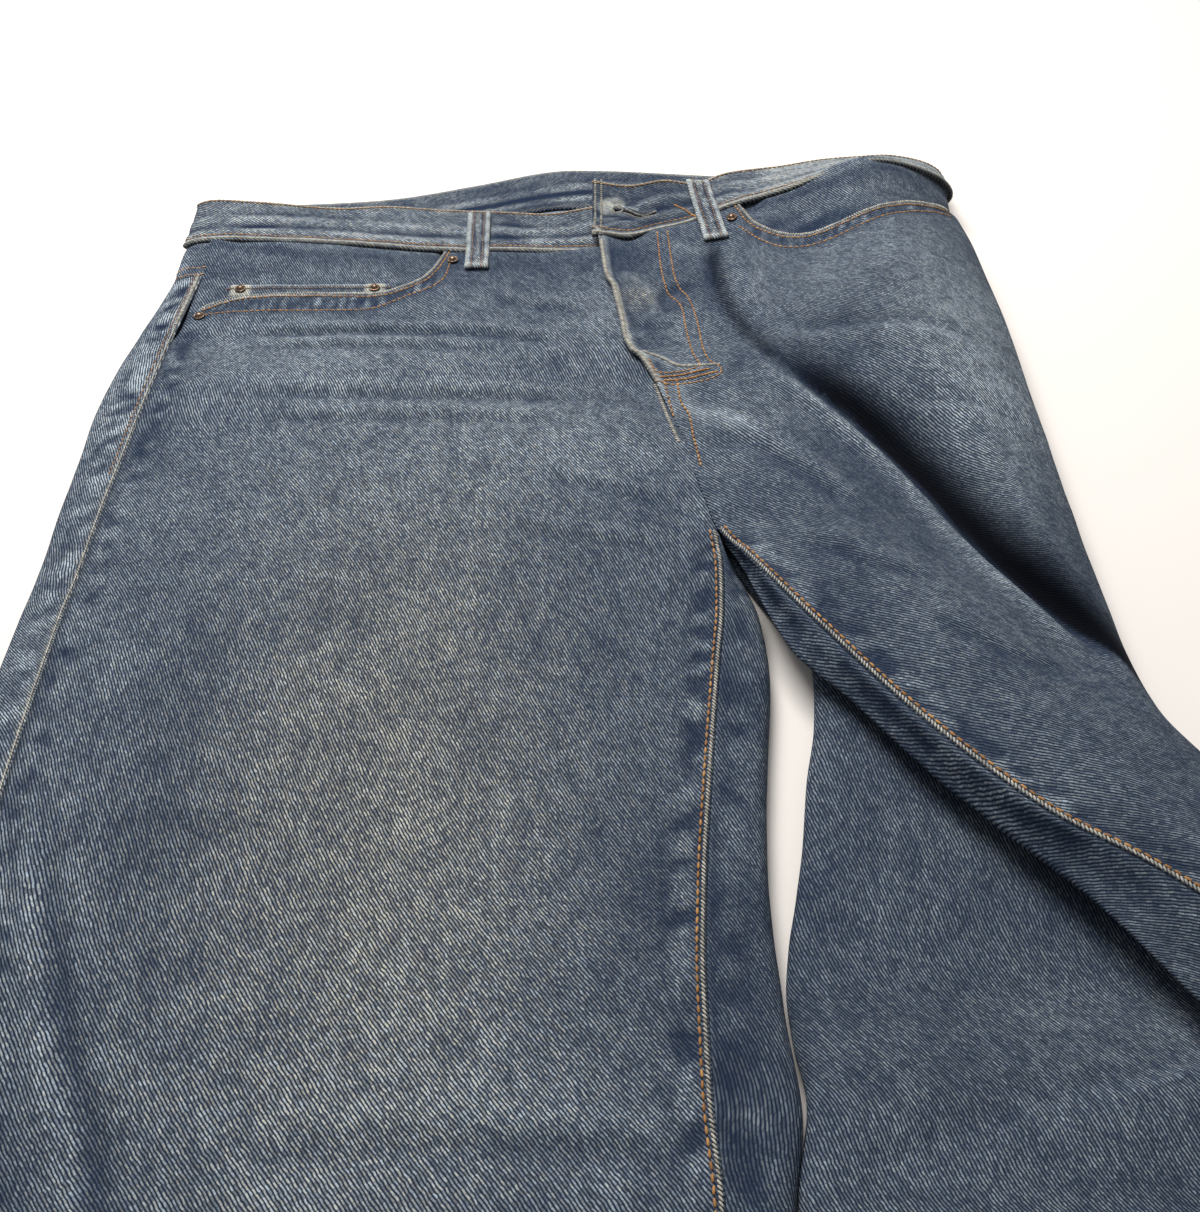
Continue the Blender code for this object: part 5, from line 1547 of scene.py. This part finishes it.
def sew(pieces, finishes):
    """All stitch rows and worn seam ridges, each seam's rows a piece of their own."""
    stitch, ridge = row_tree("stitch row", 8, 5), row_tree("worn seam ridge", 8, 5)
    front_r, front_l = pieces["front_right"], pieces["front_left"]
    back_r = pieces["back_right"]
    orange, cord, brown = finishes["topstitch"], finishes["worn"], finishes["faded"]
    leg_low, leg_high = HEM_TOP_Y + 0.3, CROTCH_Y

    def topstitch(name, lines, spacing=0.32, length=0.29, width=0.10, height=0.07, lift=0.015,
                  finish=orange):
        keep(beads(name, stitch, lines, finish, spacing, length, width, height, lift=lift),
             "topstitch_thread")

    def rope(name, lines, spacing=0.12, length=0.20, width=0.09, height=0.10, twist=60.0,
             lift=0.02):
        keep(beads(name, ridge, lines, cord, spacing, length, width, height, twist, lift),
             "worn_edge")

    def upper(line, height=0.75):
        """The unbroken stretches of a line that lie on the top side."""
        shown = np.flatnonzero(line[0][:, 2] > height)
        runs = np.split(shown, np.flatnonzero(np.diff(shown) > 1) + 1)
        return [(line[0][run], line[1][run]) for run in runs]

    inseams = (("right", front_r, "last", 40), ("left", front_l, "first", -40))
    for side, front, edge, twist in inseams:
        rope(f"inseam_ridge_{side}", [front.inset(edge, 0.12, leg_low, leg_high)],
             0.16, 0.26, 0.09, 0.10, twist)
    for side, front, edge, twist in inseams:
        topstitch(f"inseam_stitches_{side}", [front.inset(edge, 0.33, leg_low, leg_high)],
                  0.37, 0.33, 0.12, 0.10)
    for side, front, path, second, gap in (
            ("right", front_r, POCKET_RIGHT[1:], SECOND_ROW_RIGHT, -0.32),
            ("left", front_l, POCKET_LEFT[:-1], SECOND_ROW_LEFT, -0.3)):
        opening = curve(path)
        topstitch(f"pocket_stitches_{side}",
                  [dropped(beside(opening, gap), [front]), dropped(curve(second), [front])])
        rope(f"pocket_edge_{side}", [dropped(beside(opening, -0.11), [front])],
             0.15, 0.16, 0.10, 0.07, 90)
    topstitch("fly_stitches",
              [dropped(curve(J_INNER), [front_l]), dropped(curve(J_OUTER), [front_l])], 0.30, 0.28)
    rope("fly_edge", [front_l.inset("first", 0.10, FLY_END_Y, 18.9)], 0.13, 0.26, 0.12, 0.11, 68)
    rope("bartack_edge", [dropped(curve(BARTACK_EDGE), [front_l])], 0.12, 0.24, 0.10, 0.10, 60)
    topstitch("bartack_stitches", [dropped(curve(row), [front_l]) for row in BARTACK_ROWS],
              0.17, 0.24, 0.13, 0.11)
    topstitch("centre_front_stitches", [dropped(curve(row), [front_l]) for row in CENTRE_ROWS],
              0.30, 0.27, 0.12, 0.09)
    rope("centre_front_edge", [dropped(curve(CENTRE_EDGE), [front_l, front_r])], 0.16, 0.24, 0.12,
         0.12, 60)

    band = pieces["waistband"]
    topstitch("waistband_stitches", [*upper(band.inset("bottom", 0.60)), band.inset("top", 0.22)],
              0.30, 0.27, 0.09, 0.06)
    rope("waistband_edge", upper(band.inset("bottom", 0.20)), 0.10, 0.17, 0.08, 0.04, 62, 0.01)
    rope("flap_end", [band.inset("last", 0.12), band.inset("last", 0.50)], 0.14, 0.16, 0.10, 0.08,
         75)
    angle = np.linspace(0.6, 2 * np.pi - 0.2, 24)
    eye = np.array(BUTTONHOLE[0]) + 0.30 * joined(np.cos(angle), np.sin(angle))
    slit = curve(BUTTONHOLE)[3:]
    rope("buttonhole_edge", [dropped(eye, [band], 0.04), dropped(beside(slit, 0.17), [band]),
                             dropped(beside(slit, -0.17), [band])], 0.09, 0.13, 0.06, 0.07, 85)
    topstitch("flap_tack", [dropped(curve(((4.5, 21.3), (5.2, 20.7), (5.9, 19.9))), [band])],
              0.14, 0.24, 0.12, 0.10)
    topstitch("outseam_stitches", [back_r.inset("first", 0.36, -0.4, 18.8)], 0.34, 0.30, 0.10,
              0.08, finish=brown)
    rope("outseam_edge", [back_r.inset("first", 0.12, 11.5, 18.9)], 0.13, 0.22, 0.12, 0.10, 70)
    rope("outseam_ridge", [back_r.inset("first", 0.10, leg_low, 11.4)], 0.16, 0.22, 0.07, 0.06, 20)
    coin = pieces["coin_pocket"]
    topstitch("coin_pocket_stitches", [coin.inset("top", 0.36)], 0.30, 0.26, 0.07, 0.05,
              finish=brown)
    for side in ("right", "left"):
        topstitch(f"hem_stitches_{side}", upper(pieces[f"hem_{side}"].inset("top", 0.35), 0.2))
        topstitch(f"yoke_stitches_{side}",
                  [pieces[f"yoke_{side}"].inset("bottom", d) for d in (0.15, 0.8)], lift=0.0,
                  height=0.03)
    for name, *_ in BELT_LOOPS:
        loop = pieces[name]
        topstitch(f"{name}_stitches",
                  [loop.inset("first", 0.36), loop.inset("last", 0.36)], 0.3, 0.27, 0.07,
                  0.03 if "back" in name else 0.06, finish=brown)


# ---------------------------------------------------------------- camera, light and floor

LENS_MM, SENSOR_MM = 37.13, 36.0
CAMERA_PLACE = (0.0, -0.45, 0.442)     # metres
CAMERA_TILT = 40.0                     # degrees from straight down
FLOOR_HALF = 3.0                       # metres
ROOM_COLOUR, ROOM_STRENGTH = (0.97, 0.985, 1.0, 1.0), 0.34


def camera():
    data = bpy.data.cameras.new("camera")
    data.lens, data.sensor_width = LENS_MM, SENSOR_MM
    made = placed("camera", data)
    made.location = CAMERA_PLACE
    made.rotation_euler = (np.radians(CAMERA_TILT), 0.0, 0.0)
    bpy.context.scene.camera = made


def area_light(name, place, aim, width, height, power, colour):
    data = bpy.data.lights.new(name, "AREA")
    data.shape = "RECTANGLE"
    data.size, data.size_y, data.energy, data.color = width, height, power, colour
    made = placed(name, data)
    made.location = place
    made.rotation_euler = (Vector(aim) - Vector(place)).to_track_quat("-Z", "Y").to_euler()


def studio():
    """A pale floor, one soft light over and behind the waist, and a dimmer pale room."""
    world = bpy.data.worlds.new("room")
    world.use_nodes = True
    background = world.node_tree.nodes["Background"]
    background.inputs[0].default_value = ROOM_COLOUR
    background.inputs[1].default_value = ROOM_STRENGTH
    bpy.context.scene.world = world
    area_light("overhead", (-0.35, 0.80, 1.20), (0.0, -0.12, 0.0), 0.9, 0.6, 33.0,
               (1.0, 0.985, 0.96))
    half = FLOOR_HALF
    mesh = bpy.data.meshes.new("floor")
    mesh.from_pydata([(-half, -half, 0), (half, -half, 0), (half, half, 0), (-half, half, 0)], [],
                     [(0, 1, 2, 3)])
    mesh.materials.append(floor_finish("floor"))
    floor = placed("floor", mesh)
    bpy.context.scene.view_settings.view_transform = "Standard"


def main():
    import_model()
    camera()
    studio()
    indigo, pale, beige = (0.010, 0.019, 0.042), (0.41, 0.48, 0.54), (0.53, 0.52, 0.44)
    face = denim("denim", indigo, pale, beige)
    inside = denim("denim inside", (0.10, 0.13, 0.18), (0.50, 0.53, 0.56), beige, swing=0.9)
    finishes = {"topstitch": thread("topstitch thread", (0.16, 0.062, 0.018), (0.50, 0.26, 0.085)),
                "faded": thread("faded topstitch thread", (0.09, 0.045, 0.030),
                                (0.30, 0.17, 0.09)),
                "worn": thread("worn seam edge", (0.15, 0.145, 0.13), (0.60, 0.57, 0.50), 0.85),
                "brass": brass("antique brass")}
    pieces = {
        "front_right": right_front([face, inside]), "front_left": left_front([face, inside]),
        "back_right": right_back([face, inside]), "back_left": left_back([face, inside]),
        "waistband": waistband([face, face]), "coin_pocket": coin_pocket([face, inside]),
        "fly_facing": fly_facing([face, inside]),
    }
    for side in ("right", "left"):
        pieces[f"yoke_{side}"] = yoke(side, [face, inside])
        pieces[f"hem_{side}"] = hem(side, [face, inside])
        pieces[f"pocket_facing_{side}"] = facing(side, [face, inside])
    for name, x_low, x_high, y_low, y_high, under in BELT_LOOPS:
        carriers = [pieces["front_left" if x_low > 0 else "front_right"], pieces["waistband"]]
        pieces[name] = belt_loop(name, x_low, x_high, y_low, y_high, under, carriers, [face, face])
    for name, piece in pieces.items():
        keep(piece, "denim", name)
    for name, x, y, sunk in RIVETS:
        keep(rivet(name, x, y, sunk, finishes["brass"]), "antique_brass", name)
    keep(button(finishes["brass"]), "antique_brass", "button")
    sew(pieces, finishes)


main()
